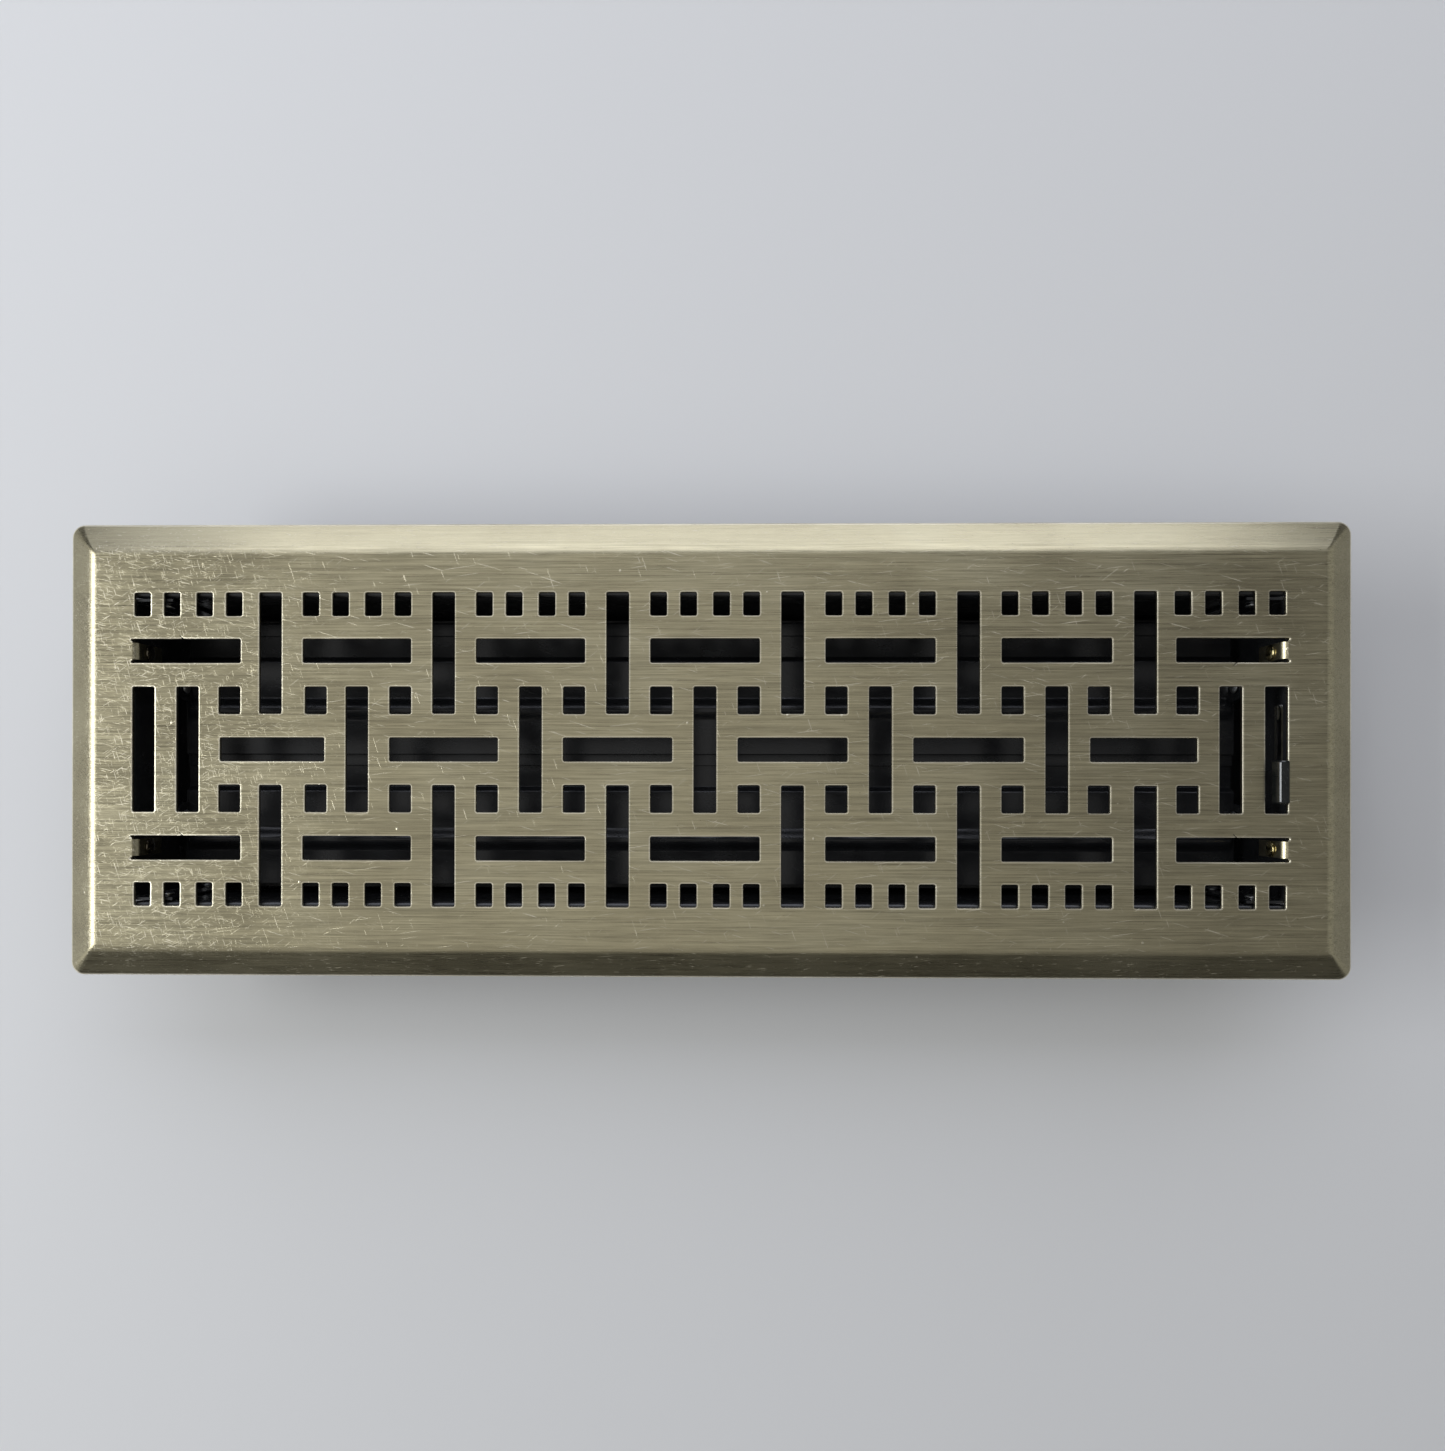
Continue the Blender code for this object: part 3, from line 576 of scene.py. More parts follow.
def bar_mesh(low, high):
    low, high = Vector(low), Vector(high)
    place = Matrix.Translation((low + high) / 2) @ Matrix.Diagonal((*(high - low), 1.0))
    bm = bmesh.new()
    bmesh.ops.create_cube(bm, size=1.0, matrix=place)
    return to_mesh(bm, "bar")


def lathe_mesh(profile, origin, direction, name, steps=36):
    """A turned solid from (radius, height) points; heights run along direction from origin."""
    turn = Vector(direction).to_track_quat("Z", "Y").to_matrix().to_4x4()
    place = Matrix.Translation(origin) @ turn
    turns = directions(0, 360, steps)[:-1]
    bm = bmesh.new()
    rings = []
    for radius, height in profile:
        around = turns if radius > 0.0 else turns[:1]
        points = [place @ Vector((radius * x, radius * y, height)) for x, y in around]
        rings.append([bm.verts.new(point) for point in points])
    pairs = list(zip(rings, rings[1:]))
    if len(rings[0]) > 1:
        pairs.append((rings[-1], rings[0]))
    for a, b in pairs:
        for i in range(steps):
            j = (i + 1) % steps
            if len(a) == 1:
                bm.faces.new((a[0], b[i], b[j]))
            elif len(b) == 1:
                bm.faces.new((a[i], a[j], b[0]))
            else:
                bm.faces.new((a[i], b[i], b[j], a[j]))
    return to_mesh(bm, name)


def link_object(name, data):
    """A new object in the scene, from a mesh, a light or a camera."""
    obj = bpy.data.objects.new(name, data)
    bpy.context.scene.collection.objects.link(obj)
    return obj


def applied(mesh, name, kind, **settings):
    """The mesh after one modifier, as a new mesh."""
    obj = link_object(name, mesh)
    modifier = obj.modifiers.new(kind, kind)
    for key, value in settings.items():
        setattr(modifier, key, value)
    graph = bpy.context.evaluated_depsgraph_get()
    result = bpy.data.meshes.new_from_object(obj.evaluated_get(graph))
    result.name = name
    bpy.data.objects.remove(obj)
    return result


def eased_edges(mesh, name):
    """The mesh with its sharp edges rounded."""
    limit = {"limit_method": "ANGLE", "angle_limit": math.radians(45)}
    return applied(mesh, name, "BEVEL", width=EDGE, segments=2, **limit)


def holes(centres, radius, axis, steps=28):
    """Round holes with their length along X or Y, as an (operation, tool mesh) pair for cut."""
    turn = Matrix.Rotation(math.pi / 2, 4, "Y" if axis == "X" else "X")
    bm = bmesh.new()
    for centre in centres:
        size = {"radius1": radius, "radius2": radius, "depth": CUTTER_LENGTH}
        place = Matrix.Translation(centre) @ turn
        bmesh.ops.create_cone(bm, cap_ends=True, segments=steps, matrix=place, **size)
    return "DIFFERENCE", to_mesh(bm, "holes")


def cut(mesh, name, tools):
    """The mesh after exact Booleans with (operation, tool mesh) pairs, which are used up."""
    for operation, tool in tools:
        helper = link_object(f"{name}_tool", tool)
        mesh = applied(mesh, name, "BOOLEAN", operation=operation, object=helper, solver="EXACT")
        bpy.data.objects.remove(helper)
    return mesh


def place_mesh(mesh, name, body, materials, node, slot_name, angle=35):
    """Makes a piece: smooth shading, materials, and the calls that tie it to the frame.

    Edges bent more than angle in degrees stay sharp; with None the mesh keeps its own shading.
    """
    if angle is not None:
        mesh.shade_smooth()
        mesh.set_sharp_from_angle(angle=math.radians(angle))
    for material in materials:
        mesh.materials.append(material)
    obj = link_object(name, mesh)
    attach(obj, body)
    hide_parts(node)


# --- Faceplate ---

def plate_openings():
    """The lattice's rectangles (x0, x1, y0, y1), read from the rims of the CAD plate's flat top."""
    mesh = frame["nodes"]["faceplate"].data
    uses = {}
    for polygon in mesh.polygons:
        corners = [mesh.vertices[i].co for i in polygon.vertices]
        if min(corner.z for corner in corners) < FACE_TOP - 0.002 * MM:
            continue
        keys = [(round(corner.x, 6), round(corner.y, 6)) for corner in corners]
        for pair in zip(keys, keys[1:] + keys[:1]):
            edge = frozenset(pair)
            uses[edge] = uses.get(edge, 0) + 1
    neighbours = {}
    for edge, count in uses.items():
        if count == 1 and len(edge) == 2:
            a, b = edge
            neighbours.setdefault(a, []).append(b)
            neighbours.setdefault(b, []).append(a)
    rectangles = []
    seen = set()
    for start in neighbours:
        if start in seen:
            continue
        seen.add(start)
        members = [start]
        for point in members:
            for other in neighbours[point]:
                if other not in seen:
                    seen.add(other)
                    members.append(other)
        xs, ys = zip(*members)
        rectangles.append((min(xs), max(xs), min(ys), max(ys)))
    # The plate's own rim is the one loop that is wider than half of the plate.
    return sorted(r for r in rectangles if r[1] - r[0] < PLATE_HIGH.x)


def opening_outline(rectangle, outset, tongue_end):
    """A rectangle's outline moved out by outset, anticlockwise, with round corners.

    At a slot's tongue end the line keeps its place: it runs from a small relief at each corner
    along the tongue's root. One long side of such a slot also has the slanted nick that the die
    leaves. The result is (points, index of the root's first point or None).
    """
    x0, x1, y0, y1 = rectangle
    left = x0 - (0.0 if tongue_end < 0 else outset)
    right = x1 + (0.0 if tongue_end > 0 else outset)
    low, high = y0 - outset, y1 + outset
    corners = []
    for start, side_x, side_y in CORNERS:
        x = right if side_x > 0 else left
        y = high if side_y > 0 else low
        if side_x != tongue_end:
            radius = OPENING_CORNER + outset
            centre = (x - side_x * radius, y - side_y * radius)
            corners.append(arc(centre, radius, start, start + 90, OPENING_STEPS))
            continue
        # The relief is a punched half-round that bites past the root line beside the tongue.
        bite = TONGUE_KERF + outset
        relief = []
        for across, out in directions(0, 180, OPENING_STEPS):
            dx = side_x * bite * RELIEF_STRETCH * out
            relief.append((x + dx, y + side_y * bite * (across - 1)))
        # It runs towards the root at the first corner met there, and away at the second.
        corners.append(relief if side_y == -tongue_end else relief[::-1])
    root = None
    if tongue_end:
        mouth = (x1 if tongue_end > 0 else x0) - tongue_end * NICK_FROM_ROOT
        lowered = tongue_end > 0 and y0 > 0
        level, edge_y, lean = (low, y0, -1) if lowered else (high, y1, 1)
        nick = [(mouth + dx, edge_y + lean * dy) for dx, dy in NICK_TIP]
        nick = [(mouth + NICK_MOUTH[0], level), *nick, (mouth + NICK_MOUTH[1], level)]
        if lowered:
            corners[2] += reversed(nick)
        else:
            corners[0] += nick
        root = sum(map(len, corners if tongue_end > 0 else corners[:2])) - 1
    return sum(corners, []), root


def add_ring(bm, points, z):
    return [bm.verts.new((x, y, z)) for x, y in points]


def join_rings(bm, upper, lower, material, skip=None):
    for i in range(len(upper)):
        if i != skip:
            j = (i + 1) % len(upper)
            face = bm.faces.new((upper[i], lower[i], lower[j], upper[j]))
            face.material_index = material


def ring_edges(bm, ring):
    return [bm.edges.get(pair) for pair in zip(ring, ring[1:] + ring[:1])]


def add_tongue(bm, rings, root, end):
    """The tongue of an end slot, grown from the root edges of its opening's rings.

    It bends down round the sheet's own thickness and ends in a sheared tip.
    """
    outer = TONGUE_BEND + PLATE_SHEET
    bend_z = UNDERSIDE - TONGUE_BEND
    tip = PLATE_LOW.z
    flanks = []
    for index in (root, (root + 1) % len(rings[0])):
        column = [ring[index] for ring in rings]
        root_x = abs(column[0].co.x)
        y = column[0].co.y
        upper, lower = [], []
        for x, z in directions(90, 180, TONGUE_BEND_STEPS)[1:]:
            reach = outer / (abs(x) ** TONGUE_FACET + abs(z) ** TONGUE_FACET) ** (1 / TONGUE_FACET)
            upper.append((root_x + x * reach, bend_z + z * reach))
            lower.append((root_x + x * TONGUE_BEND, bend_z + z * TONGUE_BEND))
        upper.append((root_x - outer, tip + TONGUE_TIP_EASE))
        upper.append((root_x - outer + TONGUE_TIP_EASE, tip))
        lower.append((root_x - TONGUE_BEND, tip))
        upper, lower = ([bm.verts.new((end * x, y, z)) for x, z in line] for line in (upper, lower))
        flanks.append([column[0], *upper, *reversed(lower), column[-1]])
        bm.faces.new((*column, lower[0], upper[0]))
        for k in range(len(lower) - 2):
            bm.faces.new((upper[k], upper[k + 1], lower[k + 1], lower[k]))
        bm.faces.new((*upper[-3:], lower[-1], lower[-2]))
    a, b = flanks
    for k in range(len(a) - 1):
        bm.faces.new((a[k], a[k + 1], b[k + 1], b[k]))


def rim_sections():
    """The rim's section as (inset, height, corner radius): its upper skin, then its lower skin."""
    bend_run = RIM_BEND_RADIUS * math.sin(RIM_ANGLE)
    bend_drop = RIM_BEND_RADIUS * (1 - math.cos(RIM_ANGLE))
    slope_run = RIM_RUN - bend_run
    slope_drop = slope_run * math.tan(RIM_ANGLE)
    lip_top = FACE_TOP - bend_drop - slope_drop
    lip_bottom = lip_top - RIM_LIP

    def bend(radius):
        """The skin that lies at this radius from the bend's centre line, from the flat out."""
        skin = []
        for i, (up, out) in enumerate(directions(0, RIM_DEGREES, RIM_BEND_STEPS)):
            z = FACE_TOP - RIM_BEND_RADIUS + radius * up
            corner_radius = FLAT_CORNER_RADIUS + FLAT_CORNER_GROWTH * i
            skin.append((RIM_RUN - radius * out, z, corner_radius))
        return skin

    upper = [(RIM_RUN + RIM_MARGIN, FACE_TOP, FLAT_CORNER_RADIUS), *bend(RIM_BEND_RADIUS)]
    for share in (0.35, 0.7):
        z = FACE_TOP - bend_drop - slope_drop * share
        radius = FLAT_CORNER_RADIUS + (0.4 + 2.3 * share) * MM
        upper.append((slope_run * (1 - share), z, radius))
    start_z = lip_top + LIP_ROUND * math.sin(RIM_ANGLE)
    end_z = lip_top - LIP_ROUND * 0.6
    for i in range(LIP_STEPS + 1):
        t = i / LIP_STEPS
        inset = LIP_ROUND * math.cos(RIM_ANGLE) * (1 - t) ** 2
        z = start_z * (1 - t) ** 2 + lip_top * 2 * t * (1 - t) + end_z * t ** 2
        upper.append((inset, z, RIM_CORNER_RADIUS - inset * 0.6))
    upper.append((0.0, lip_bottom + EDGE, RIM_CORNER_RADIUS))

    inner_radius = RIM_CORNER_RADIUS - PLATE_SHEET
    inner_z = lip_top + PLATE_SHEET * math.tan(RIM_ANGLE) - PLATE_SHEET / math.cos(RIM_ANGLE)
    lower = [
        (EDGE, lip_bottom, RIM_CORNER_RADIUS - EDGE),
        (PLATE_SHEET - EDGE, lip_bottom, inner_radius + EDGE),
        (PLATE_SHEET, lip_bottom + EDGE, inner_radius),
        (PLATE_SHEET, inner_z, inner_radius),
        *reversed(bend(RIM_BEND_RADIUS - PLATE_SHEET)),
        (RIM_RUN + RIM_MARGIN, UNDERSIDE, FLAT_CORNER_RADIUS),
    ]
    return upper, lower


def faceplate():
    """One pressing: flat pierced face, bent rim and the four tongues, as one closed mesh."""
    bm = bmesh.new()
    upper, lower = rim_sections()
    rings = []
    for inset, z, radius in upper + lower:
        halves = (PLATE_HIGH.x - inset, PLATE_HIGH.y - inset)
        outline = rounded_rectangle((0.0, 0.0), *halves, radius, RIM_CORNER_STEPS)
        rings.append(add_ring(bm, outline, z))
    # The lip's rollover takes the pale edge brass: worn plating and a painted highlight.
    lip_wear_and_highlight = range(len(upper) - LIP_STEPS - 2, len(upper) - 1)
    for i, (a, b) in enumerate(zip(rings, rings[1:])):
        join_rings(bm, a, b, 1 if i in lip_wear_and_highlight else 0)
    top_edges = ring_edges(bm, rings[0])
    under_edges = ring_edges(bm, rings[-1])
    punched_edges = []
    for rectangle in plate_openings():
        x0, x1 = rectangle[:2]
        end = 0
        if x1 - x0 > END_SLOT_LENGTH and max(abs(x0), abs(x1)) > END_SLOT_REACH:
            end = 1 if x1 > 0 else -1
        opening = []
        for outset, z in OPENING_RINGS:
            points, root = opening_outline(rectangle, outset, end)
            opening.append(add_ring(bm, points, z))
        for k, (a, b) in enumerate(zip(opening, opening[1:])):
            join_rings(bm, a, b, 1 if k < WEAR_AND_HIGHLIGHT_STRIPS else 0, root)
        if end:
            add_tongue(bm, opening, root, end)
        punched_edges += ring_edges(bm, opening[0])
        under_edges += ring_edges(bm, opening[-1])
    for edges in (top_edges + punched_edges, under_edges):
        bmesh.ops.triangle_fill(bm, use_beauty=True, use_dissolve=False, edges=edges)
    bmesh.ops.recalc_face_normals(bm, faces=bm.faces)
    for edge in bm.edges:
        if len(edge.link_faces) == 2 and edge.calc_face_angle() > PLATE_SHARP_ANGLE:
            edge.smooth = False
    for edge in punched_edges:
        edge.smooth = False
    grain = bm.loops.layers.uv.new("grain")
    for face in bm.faces:
        face.smooth = True
        for loop in face.loops:
            loop[grain].uv = (loop.vert.co.x, loop.vert.co.y + loop.vert.co.z)
    name = "faceplate_pressing"
    mesh = to_mesh(bm, name)
    place_mesh(mesh, name, "root", [BRASS, EDGE_WEAR_AND_HIGHLIGHT_BRASS], "faceplate", "antique_brass", None)


# --- Damper box ---

def side_wall(side_name, side):
    """A long wall: an upright sheet, flanged out under the plate, with a lip turned in below."""
    name = f"side_wall_{side_name}_sheet"
    middle = BOX_SHEET / 2
    wall_y = SIDE_OUTER - middle
    line = [
        (SIDE_OUTER + WALL_FLANGE, WALL_TOP - middle),
        (wall_y, WALL_TOP - middle),
        (wall_y, middle),
        (SIDE_OUTER - BOX_SHEET - BOX_LIP, middle),
    ]
    loop = bent_sheet(line, BOX_SHEET)
    mesh = swept_mesh(loop, lambda y, z, t: (t, side * y, z), -END_OUTER, END_OUTER, name)
    centres = []
    for _, end in ENDS:
        centres += [(end * rivet.x, side * wall_y, rivet.z) for rivet in CORNER_RIVETS]
    mesh = cut(mesh, name, [holes(centres, HOLE_RADIUS, "Y")])
    place_mesh(mesh, name, "root", [ENAMEL], f"side_wall_{side_name}", "black_paint")


def end_wall(end_name, end):
    """A short wall: a channel whose flanges lie inside the long walls.

    The right one has a window for the link.
    """
    name = f"end_wall_{end_name}_sheet"
    middle = BOX_SHEET / 2
    wall_x = END_OUTER - middle
    flange_y = END_HIGH.y - middle
    line = [
        (wall_x - END_FLANGE, -flange_y),
        (wall_x, -flange_y),
        (wall_x, flange_y),
        (wall_x - END_FLANGE, flange_y),
    ]
    loop = bent_sheet(line, BOX_SHEET)
    mesh = swept_mesh(loop, lambda x, y, t: (end * x, y, t), END_LOW.z, END_HIGH.z, name)
    pins, tabs, corners = [], [], []
    for _, side in SIDES:
        pins.append((end * wall_x, side * PIVOT_Y, PIVOT_Z))
        tabs.append((end * wall_x, side * TAB_RIVET.y, TAB_RIVET.z))
        corners += [(end * rivet.x, side * flange_y, rivet.z) for rivet in CORNER_RIVETS]
    tools = [
        holes(pins, PIN_HOLE_RADIUS, "X"),
        holes(tabs, HOLE_RADIUS, "X"),
        holes(corners, HOLE_RADIUS, "Y"),
    ]
    if end > 0:
        upper, lower = WINDOW_BELOW_FACE
        low = (wall_x - CUTTER_LENGTH / 2, -WINDOW_HALF_WIDTH, FACE_TOP - lower)
        high = (wall_x + CUTTER_LENGTH / 2, WINDOW_HALF_WIDTH, FACE_TOP - upper)
        bar = bar_mesh(low, high)
        window = applied(bar, "window", "BEVEL", width=WINDOW_CORNER, segments=4)
        tools.append(("DIFFERENCE", window))
    mesh = cut(mesh, name, tools)
    place_mesh(mesh, name, "root", [ENAMEL], f"end_wall_{end_name}", "black_paint")


# --- Damper blades ---

def blade_section(rise):
    """A blade's outline about its pivot, with its bead at a share of its full height."""
    flat = -BLADE_DROP
    low = flat - JOGGLE_DROP
    fold = HEM_PITCH / 2
    half = BEAD_WIDTH / 2
    points = [(BLADE_FREE_EDGE, flat)]
    for i in range(BEAD_STEPS + 1):
        t = -BEAD_FOOT + 2 * BEAD_FOOT * i / BEAD_STEPS
        height = BEAD_HEIGHT * rise * 0.5 * (1 + math.cos(math.pi * t / BEAD_FOOT))
        points.append((BEAD_CENTRE + half * t, flat + height))
    joggle = [
        (BEAD_CENTRE + half * BEAD_FOOT + BEAD_TO_JOGGLE, flat),
        (JOGGLE_START, flat),
        (JOGGLE_START + JOGGLE_RUN, low),
        (BLADE_HEM_EDGE - JOGGLE_TO_HEM, low),
    ]
    points += fillet(joggle, JOGGLE_BEND, 5)
    points += arc((BLADE_HEM_EDGE, low + fold), fold, -90, 90, 10)
    points.append((BLADE_HEM_EDGE - HEM_WIDTH, low + HEM_PITCH))
    return sheet_loop(points, BLADE_SHEET)


def ear_mesh(end, pivot_y):
    """An ear turned up from the blade's end, round at the top, with a filleted foot."""
    foot = [(EAR_RADIUS + out, up - BLADE_DROP) for out, up in EAR_FOOT]
    outline = foot + arc((0.0, 0.0), EAR_RADIUS, 0, 180, 28)
    outline += [(-y, z) for y, z in reversed(foot)]

    def place(y, z, t):
        return end * t, pivot_y + y, PIVOT_Z + z

    return swept_mesh(outline, place, BLADE_END - EAR_SHEET, BLADE_END, "ear")


def blade(side_name, side):
    """A damper blade: a pressed sheet with a domed bead, a joggle, a hem and two ears."""
    name = f"blade_{side_name}_pressing"
    body = f"blade_{side_name}"
    pivot_y = side * PIVOT_Y
    start = BLADE_END - EDGE
    stations = [(BLADE_END, 0.0), (start, 0.0)]
    for run, rise in directions(0, 90, BEAD_DOME_STEPS):
        stations.append((start - BEAD_FROM_END - BEAD_DOME * (1 - run), rise))
    stations = [(-x, rise) for x, rise in stations] + stations[::-1]
    sections = []
    for x, rise in stations:
        sections.append([(x, pivot_y + y, PIVOT_Z + z) for y, z in blade_section(rise)])
    mesh = loft_mesh(sections, name)
    tools = [("UNION", ear_mesh(end, pivot_y)) for _, end in ENDS]
    pins = [(end * BLADE_END, pivot_y, PIVOT_Z) for _, end in ENDS]
    tools.append(holes(pins, PIN_HOLE_RADIUS, "X", FINE_HOLE_STEPS))
    mesh = cut(mesh, name, tools)
    place_mesh(mesh, name, body, [ENAMEL], body, "black_paint")


# --- Turned pieces ---

def dome(radius, height, steps=7):
    """The profile of a rivet head above its seat: a shallow dome over a short rounded rim."""
    rim = 0.28 * height
    points = [(radius * out, rim + (height - rim) * up) for up, out in directions(0, 90, steps)]
    return points + [(radius, 0.05 * height), (radius - 0.08 * height, 0.0)]


def staked(radius, height, steps=6):
    """The end of a staked tail: a rounded rim round a shallow dimple left by the punch."""
    points = []
    for out, down in directions(0, 90, steps):
        points.append((radius * (0.72 + 0.28 * out), 0.55 * height * (1 - down)))
    return points + [(radius * 0.45, 0.0), (radius * 0.3, height * 0.35), (0.0, height * 0.45)]


def rivet(node, body, material, slot_name, direction, size):
    """A rivet or pin in the place of a CAD node: its head looks along direction.

    Its size is (shank radius, head, tail); a tail of None is flush with the node's end.
    """
    shank, head, tail = size
    low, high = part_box(node)
    direction = Vector(direction)
    reach = abs(direction.dot(high - low))
    seat = (low + high) / 2 + direction * (reach / 2 - head[1])
    end = head[1] - reach
    profile = dome(*head) + [(shank + SHANK_EASE, 0.0), (shank, -SHANK_EASE)]
    if tail is None:
        profile += [(shank, end + EDGE), (shank - EDGE, end), (0.0, end)]
    else:
        radius, height = tail
        shoulder = end + height
        profile += [(shank, shoulder + SHANK_EASE), (radius - EDGE, shoulder)]
        profile.append((radius, shoulder - EDGE))
        profile += [(r, end + z) for r, z in staked(radius, height)]
    name = f"{node}_turned"
    mesh = lathe_mesh(profile, seat, direction, name)
    place_mesh(mesh, name, body, [material], node, slot_name, 40)


def bush(node):
    """A nylon spacer with broken edges and a slight waist."""
    low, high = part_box(node)
    length = high.x - low.x
    radius = (high.z - low.z) / 2
    bore = PIN_HOLE_RADIUS
    ease = 0.3 * MM
    half = [
        (bore, ease),
        (bore + ease, 0.0),
        (radius - ease, 0.0),
        (radius, ease),
        (radius, 0.22 * length),
        (radius - 0.15 * MM, 0.3 * length),
    ]
    profile = half + [(r, length - x) for r, x in reversed(half)]
    centre = (low + high) / 2
    name = f"{node}_moulding"
    mesh = lathe_mesh(profile, (low.x, centre.y, centre.z), (1, 0, 0), name)
    place_mesh(mesh, name, "root", [NYLON], node, "black_nylon", 30)


def turned_pieces():
    for side_name, side in SIDES:
        body = f"blade_{side_name}"
        for end_name, end in ENDS:
            place = f"{side_name}_{end_name}"
            inward = (-end, 0, 0)
            # The left-end tab rivets take a darker copy of the same brass: painted shade.
            brass = RIVET_BRASS if end > 0 else SHADED_RIVET_BRASS
            rivet(f"pivot_pin_{place}", body, ZINC, "zinc_plate", inward, PIVOT_PIN)
            bush(f"pivot_bush_{place}")
            rivet(f"tab_rivet_{place}", "root", brass, "rivet_brass", inward, WALL_RIVET)
            for level in ("lower", "upper"):
                node = f"corner_rivet_{place}_{level}"
                rivet(node, "root", ZINC, "zinc_plate", (0, -side, 0), WALL_RIVET)
        rivet(f"link_rivet_{side_name}", body, ZINC, "zinc_plate", (1, 0, 0), LINK_RIVET)


# --- Linkage and knob ---

def crank(side_name, side):
    """A stamped arm with a hub at the pivot and an eye at the link's pin."""
    name = f"crank_{side_name}_stamping"
    low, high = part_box(f"crank_{side_name}")
    pivot = Vector((side * PIVOT_Y, PIVOT_Z))
    reach = Vector((LINK_PIN.y - PIVOT_Y, LINK_PIN.z - PIVOT_Z))
    lean = math.degrees(math.atan2(-reach.x, reach.y))
    outline = arc(pivot, CRANK_HUB - EDGE, 180 + lean, 360 + lean, 20)
    outline += arc(pivot + reach, CRANK_EYE - EDGE, lean, 180 + lean, 20)
    mesh = swept_mesh(outline, lambda y, z, t: (t, y, z), low.x, high.x, name)
    x = (low.x + high.x) / 2
    tools = [
        holes([(x, *pivot)], PIN_HOLE_RADIUS, "X", FINE_HOLE_STEPS),
        holes([(x, *(pivot + reach))], LINK_HOLE_RADIUS, "X", FINE_HOLE_STEPS),
    ]
    mesh = eased_edges(cut(mesh, name, tools), name)
    body = f"blade_{side_name}"
    # The crank takes the darker zinc copy: painted shade.
    place_mesh(mesh, name, body, [SHADED_ZINC], f"crank_{side_name}", "zinc_plate")


def lever_link():
    """A bar across both cranks, and the tongue that steps in and up through the plate."""
    name = "lever_link_pressing"
    low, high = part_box("lever_link")
    bar_x = high.x - LINK_SHEET / 2
    lever_x = low.x + LINK_SHEET / 2
    centre = ((low.y + high.y) / 2, LINK_PIN.z)
    outline = rounded_rectangle(centre, (high.y - low.y) / 2, LINK_HEIGHT / 2, LINK_ROUND, 10)
    start, end = high.x - LINK_SHEET, high.x
    bar = swept_mesh(outline, lambda y, z, t: (t, y, z), start, end, name, LINK_EASE)
    line = [
        (bar_x, LINK_PIN.z),
        (bar_x, LEVER_STEP_Z),
        (lever_x, LEVER_STEP_Z),
        (lever_x, FACE_TOP + LEVER_ABOVE_FACE),
    ]
    loop = bent_sheet(line, LINK_SHEET, LEVER_EASE)
    middle = LINK_PIN.y - PIVOT_Y
    start, end = middle - LEVER_WIDTH / 2, middle + LEVER_WIDTH / 2
    tongue = swept_mesh(loop, lambda x, z, t: (x, t, z), start, end, "lever_tongue", LINK_EASE)
    pins = [(bar_x, middle + side * PIVOT_Y, LINK_PIN.z) for _, side in SIDES]
    tools = [("UNION", tongue), holes(pins, LINK_HOLE_RADIUS, "X", FINE_HOLE_STEPS)]
    mesh = eased_edges(cut(bar, name, tools), name)
    # The link takes the darker zinc copy: painted shade.
    place_mesh(mesh, name, "lever", [SHADED_ZINC], "lever_link", "zinc_plate")


def knob_section(x, y, bottom, top, foot_half, top_half):
    """The knob's outline across its width: flared foot, drafted sides and a crowned top."""
    height = top - bottom
    right = [
        (foot_half - 0.08 * MM, bottom),
        (foot_half, bottom + 0.12 * MM),
        (foot_half - 0.35 * (foot_half - top_half), bottom + 0.15 * height),
        (top_half + 0.05 * MM, bottom + 0.35 * height),
    ]
    for share, bulge in ((0.0, 0), (0.10, 1), (0.17, 1), (0.83, 1), (0.90, 1), (1.0, 0)):
        out = bulge * KNOB_BULGE - KNOB_SHOULDER * share
        up = bulge * KNOB_BULGE - KNOB_SHOULDER * (1 - share) - 0.12 * MM
        right.append((top_half + out, top + up))
    right.append((0.35 * top_half, top - 0.03 * MM))
    return [(x + px, y, pz) for px, pz in right] + [(x - px, y, pz) for px, pz in reversed(right)]


def knob():
    """A moulded knob: crowned top with faint cross ridges, soft ends, and a flared foot."""
    name = "knob_moulding"
    low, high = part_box("lever_knob")
    centre = (low + high) / 2
    half = (high - low) / 2
    top_draw, side_draw, foot_draw = KNOB_END_DRAW
    sections = []
    for i in range(KNOB_STEPS + 1):
        t = -1 + 2 * i / KNOB_STEPS
        t = math.copysign(1 - (1 - abs(t)) ** KNOB_CROWDING, t)
        y = half.y * t
        from_end = half.y * (1 - abs(t))
        soft = min(from_end / KNOB_END_ROUND, 1.0)
        round_off = 1 - math.sqrt(max(0.0, 1 - (1 - soft) ** 2))
        ridge = 0.5 + 0.5 * math.cos(2 * math.pi * y / KNOB_RIDGE_PITCH)
        ridge *= max(0.0, min(1.0, (from_end - KNOB_PLAIN_END) / KNOB_RIDGE_FADE))
        top = high.z - top_draw * round_off - KNOB_RIDGE * ridge
        top_half = half.x - KNOB_DRAFT - side_draw * round_off
        foot_half = half.x - foot_draw * round_off
        sections.append(knob_section(centre.x, centre.y + y, low.z, top, foot_half, top_half))
    mesh = loft_mesh(sections, name)
    pocket_half = LEVER_WIDTH / 2 + GAP
    pocket_top = FACE_TOP + LEVER_ABOVE_FACE + GAP
    pocket = bar_mesh(
        (low.x + KNOB_WALL, centre.y - pocket_half, low.z - 1 * MM),
        (high.x - KNOB_WALL, centre.y + pocket_half, pocket_top),
    )
    mesh = cut(mesh, name, [("DIFFERENCE", pocket)])
    place_mesh(mesh, name, "lever", [KNOB], "lever_knob", "knob_plastic", 42)


# --- Lights, camera and floor ---

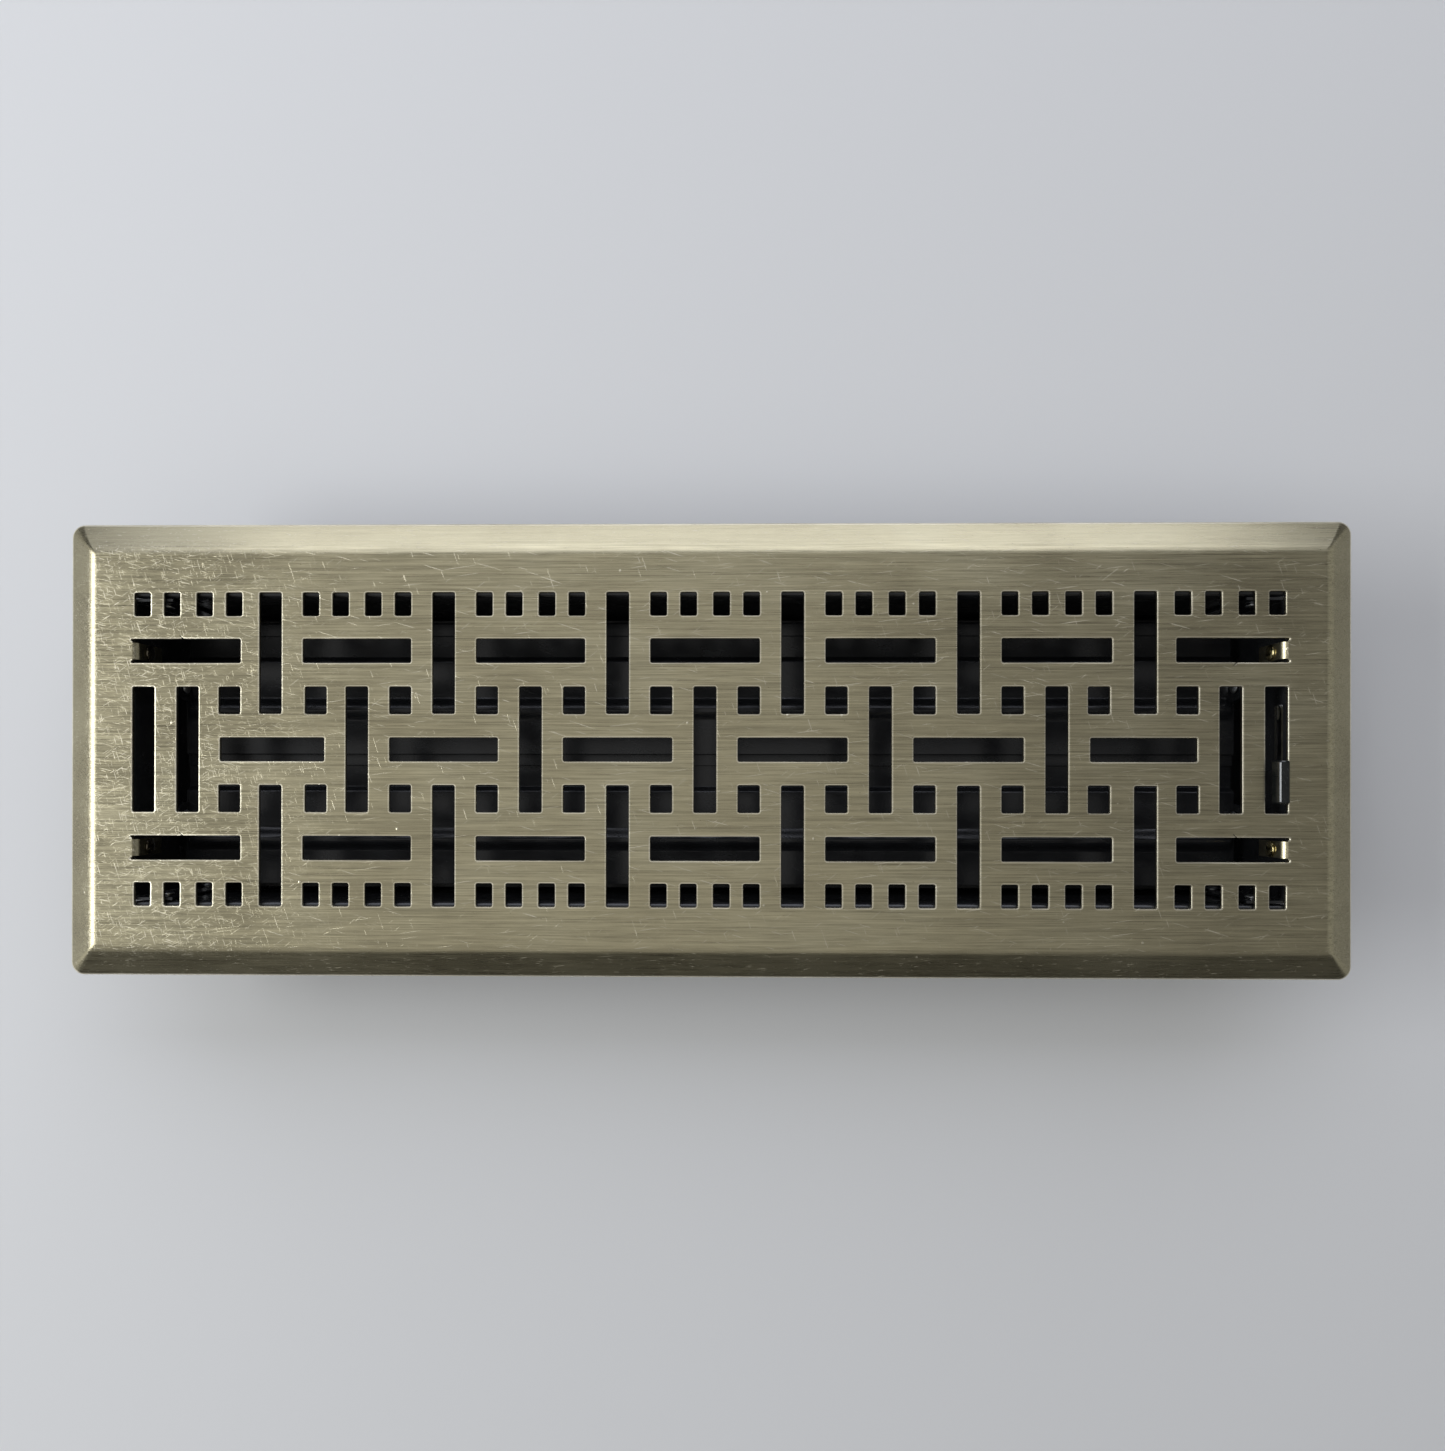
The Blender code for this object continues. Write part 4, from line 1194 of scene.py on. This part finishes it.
def softbox(name, lean_x, lean_y, distance, spread, radiance, colour):
    """A soft box aimed at the middle of the face, leaning towards +X and +Y.

    Its spread is its half angle along X and along Y, seen from the face.
    """
    lean = (math.tan(math.radians(lean_x)), math.tan(math.radians(lean_y)), 1.0)
    back = Vector(lean).normalized()
    level = Vector((1.0, 0.0, 0.0))
    along = (level - back * level.dot(back)).normalized()
    turn = Matrix((along, back.cross(along), back)).transposed()
    data = bpy.data.lights.new(name, "AREA")
    data.shape = "RECTANGLE"
    data.size, data.size_y = (2 * distance * math.tan(math.radians(half)) for half in spread)
    data.energy = radiance * math.pi * data.size * data.size_y
    data.color = colour
    light = link_object(name, data)
    light.location = Vector((0.0, 0.0, FACE_TOP)) + back * distance
    light.rotation_euler = turn.to_euler()
    light.visible_camera = False


def world():
    """A pale backdrop to the camera, and nearly dark to reflections."""
    studio = bpy.data.worlds.new("studio")
    studio.use_nodes = True
    nodes, links = studio.node_tree.nodes, studio.node_tree.links
    background = nodes["Background"]
    background.inputs["Color"].default_value = (0.98, 0.99, 1.0, 1.0)
    seen = nodes.new("ShaderNodeLightPath")
    strength = nodes.new("ShaderNodeMapRange")
    strength.inputs["To Min"].default_value = 0.03
    strength.inputs["To Max"].default_value = 0.55
    links.new(seen.outputs["Is Camera Ray"], strength.inputs["Value"])
    links.new(strength.outputs["Result"], background.inputs["Strength"])
    bpy.context.scene.world = studio


def camera():
    """Above the face and a little in front of its centre, looking straight down."""
    data = bpy.data.cameras.new("camera")
    data.sensor_fit = "HORIZONTAL"
    data.sensor_width = 36.0
    data.lens = 27.15
    data.shift_x, data.shift_y = 0.0142, 0.0411
    data.clip_start = 0.01
    obj = link_object("camera", data)
    obj.location = CAMERA_PLACE
    obj.rotation_euler = [math.radians(angle) for angle in CAMERA_TURN]
    bpy.context.scene.camera = obj


def floor():
    bm = bmesh.new()
    bmesh.ops.create_grid(bm, x_segments=1, y_segments=1, size=FLOOR_HALF_WIDTH)
    mesh = to_mesh(bm, "studio_floor")
    paint = Finish("studio_floor").finish({"Base Color": (0.68, 0.68, 0.675), "Roughness": 0.85})
    mesh.materials.append(paint)
    link_object("studio_floor", mesh)


# --- The scene ---

bpy.context.scene.view_settings.view_transform = "Standard"
BRASS = antique_brass("antique_brass_brushed")
# Pale brass for the rolled edges: worn plating and a painted highlight.
EDGE_WEAR_AND_HIGHLIGHT_BRASS = antique_brass("antique_brass_edges_wear_and_painted_highlight", worn_edge_highlight=True)
ENAMEL = black_enamel("black_enamel")
ZINC = zinc_plate("zinc_plating", ((0.46, 0.47, 0.48), (0.60, 0.61, 0.62)), (0.26, 0.44))
# A darker copy of the zinc plating for the cranks and the link: painted shade.
SHADED_ZINC = zinc_plate(
    "zinc_plating_painted_shade", ((0.13, 0.135, 0.14), (0.24, 0.245, 0.25)), (0.32, 0.48)
)
RIVET_BRASS = zinc_plate(
    "rivet_brass_plating", ((0.80, 0.66, 0.30), (0.92, 0.80, 0.46)), (0.10, 0.18)
)
# A darker copy of the rivet brass for the left end: painted shade.
SHADED_RIVET_BRASS = zinc_plate(
    "rivet_brass_painted_shade", ((0.16, 0.14, 0.10), (0.28, 0.25, 0.19)), (0.22, 0.34)
)
NYLON = moulded_plastic(
    "nylon_moulding", ((0.016, 0.016, 0.017), (0.028, 0.028, 0.028)), (0.5, 0.62), 0.5, 0.0
)
KNOB = moulded_plastic(
    "knob_plastic_gloss", ((0.004, 0.005, 0.005), (0.009, 0.010, 0.010)), (0.10, 0.15), 0.8, 0.3
)

faceplate()
for long_side in SIDES:
    side_wall(*long_side)
    blade(*long_side)
    crank(*long_side)
for short_side in ENDS:
    end_wall(*short_side)
turned_pieces()
lever_link()
knob()
floor()
for light in LIGHTS:
    softbox(*light)
world()
camera()
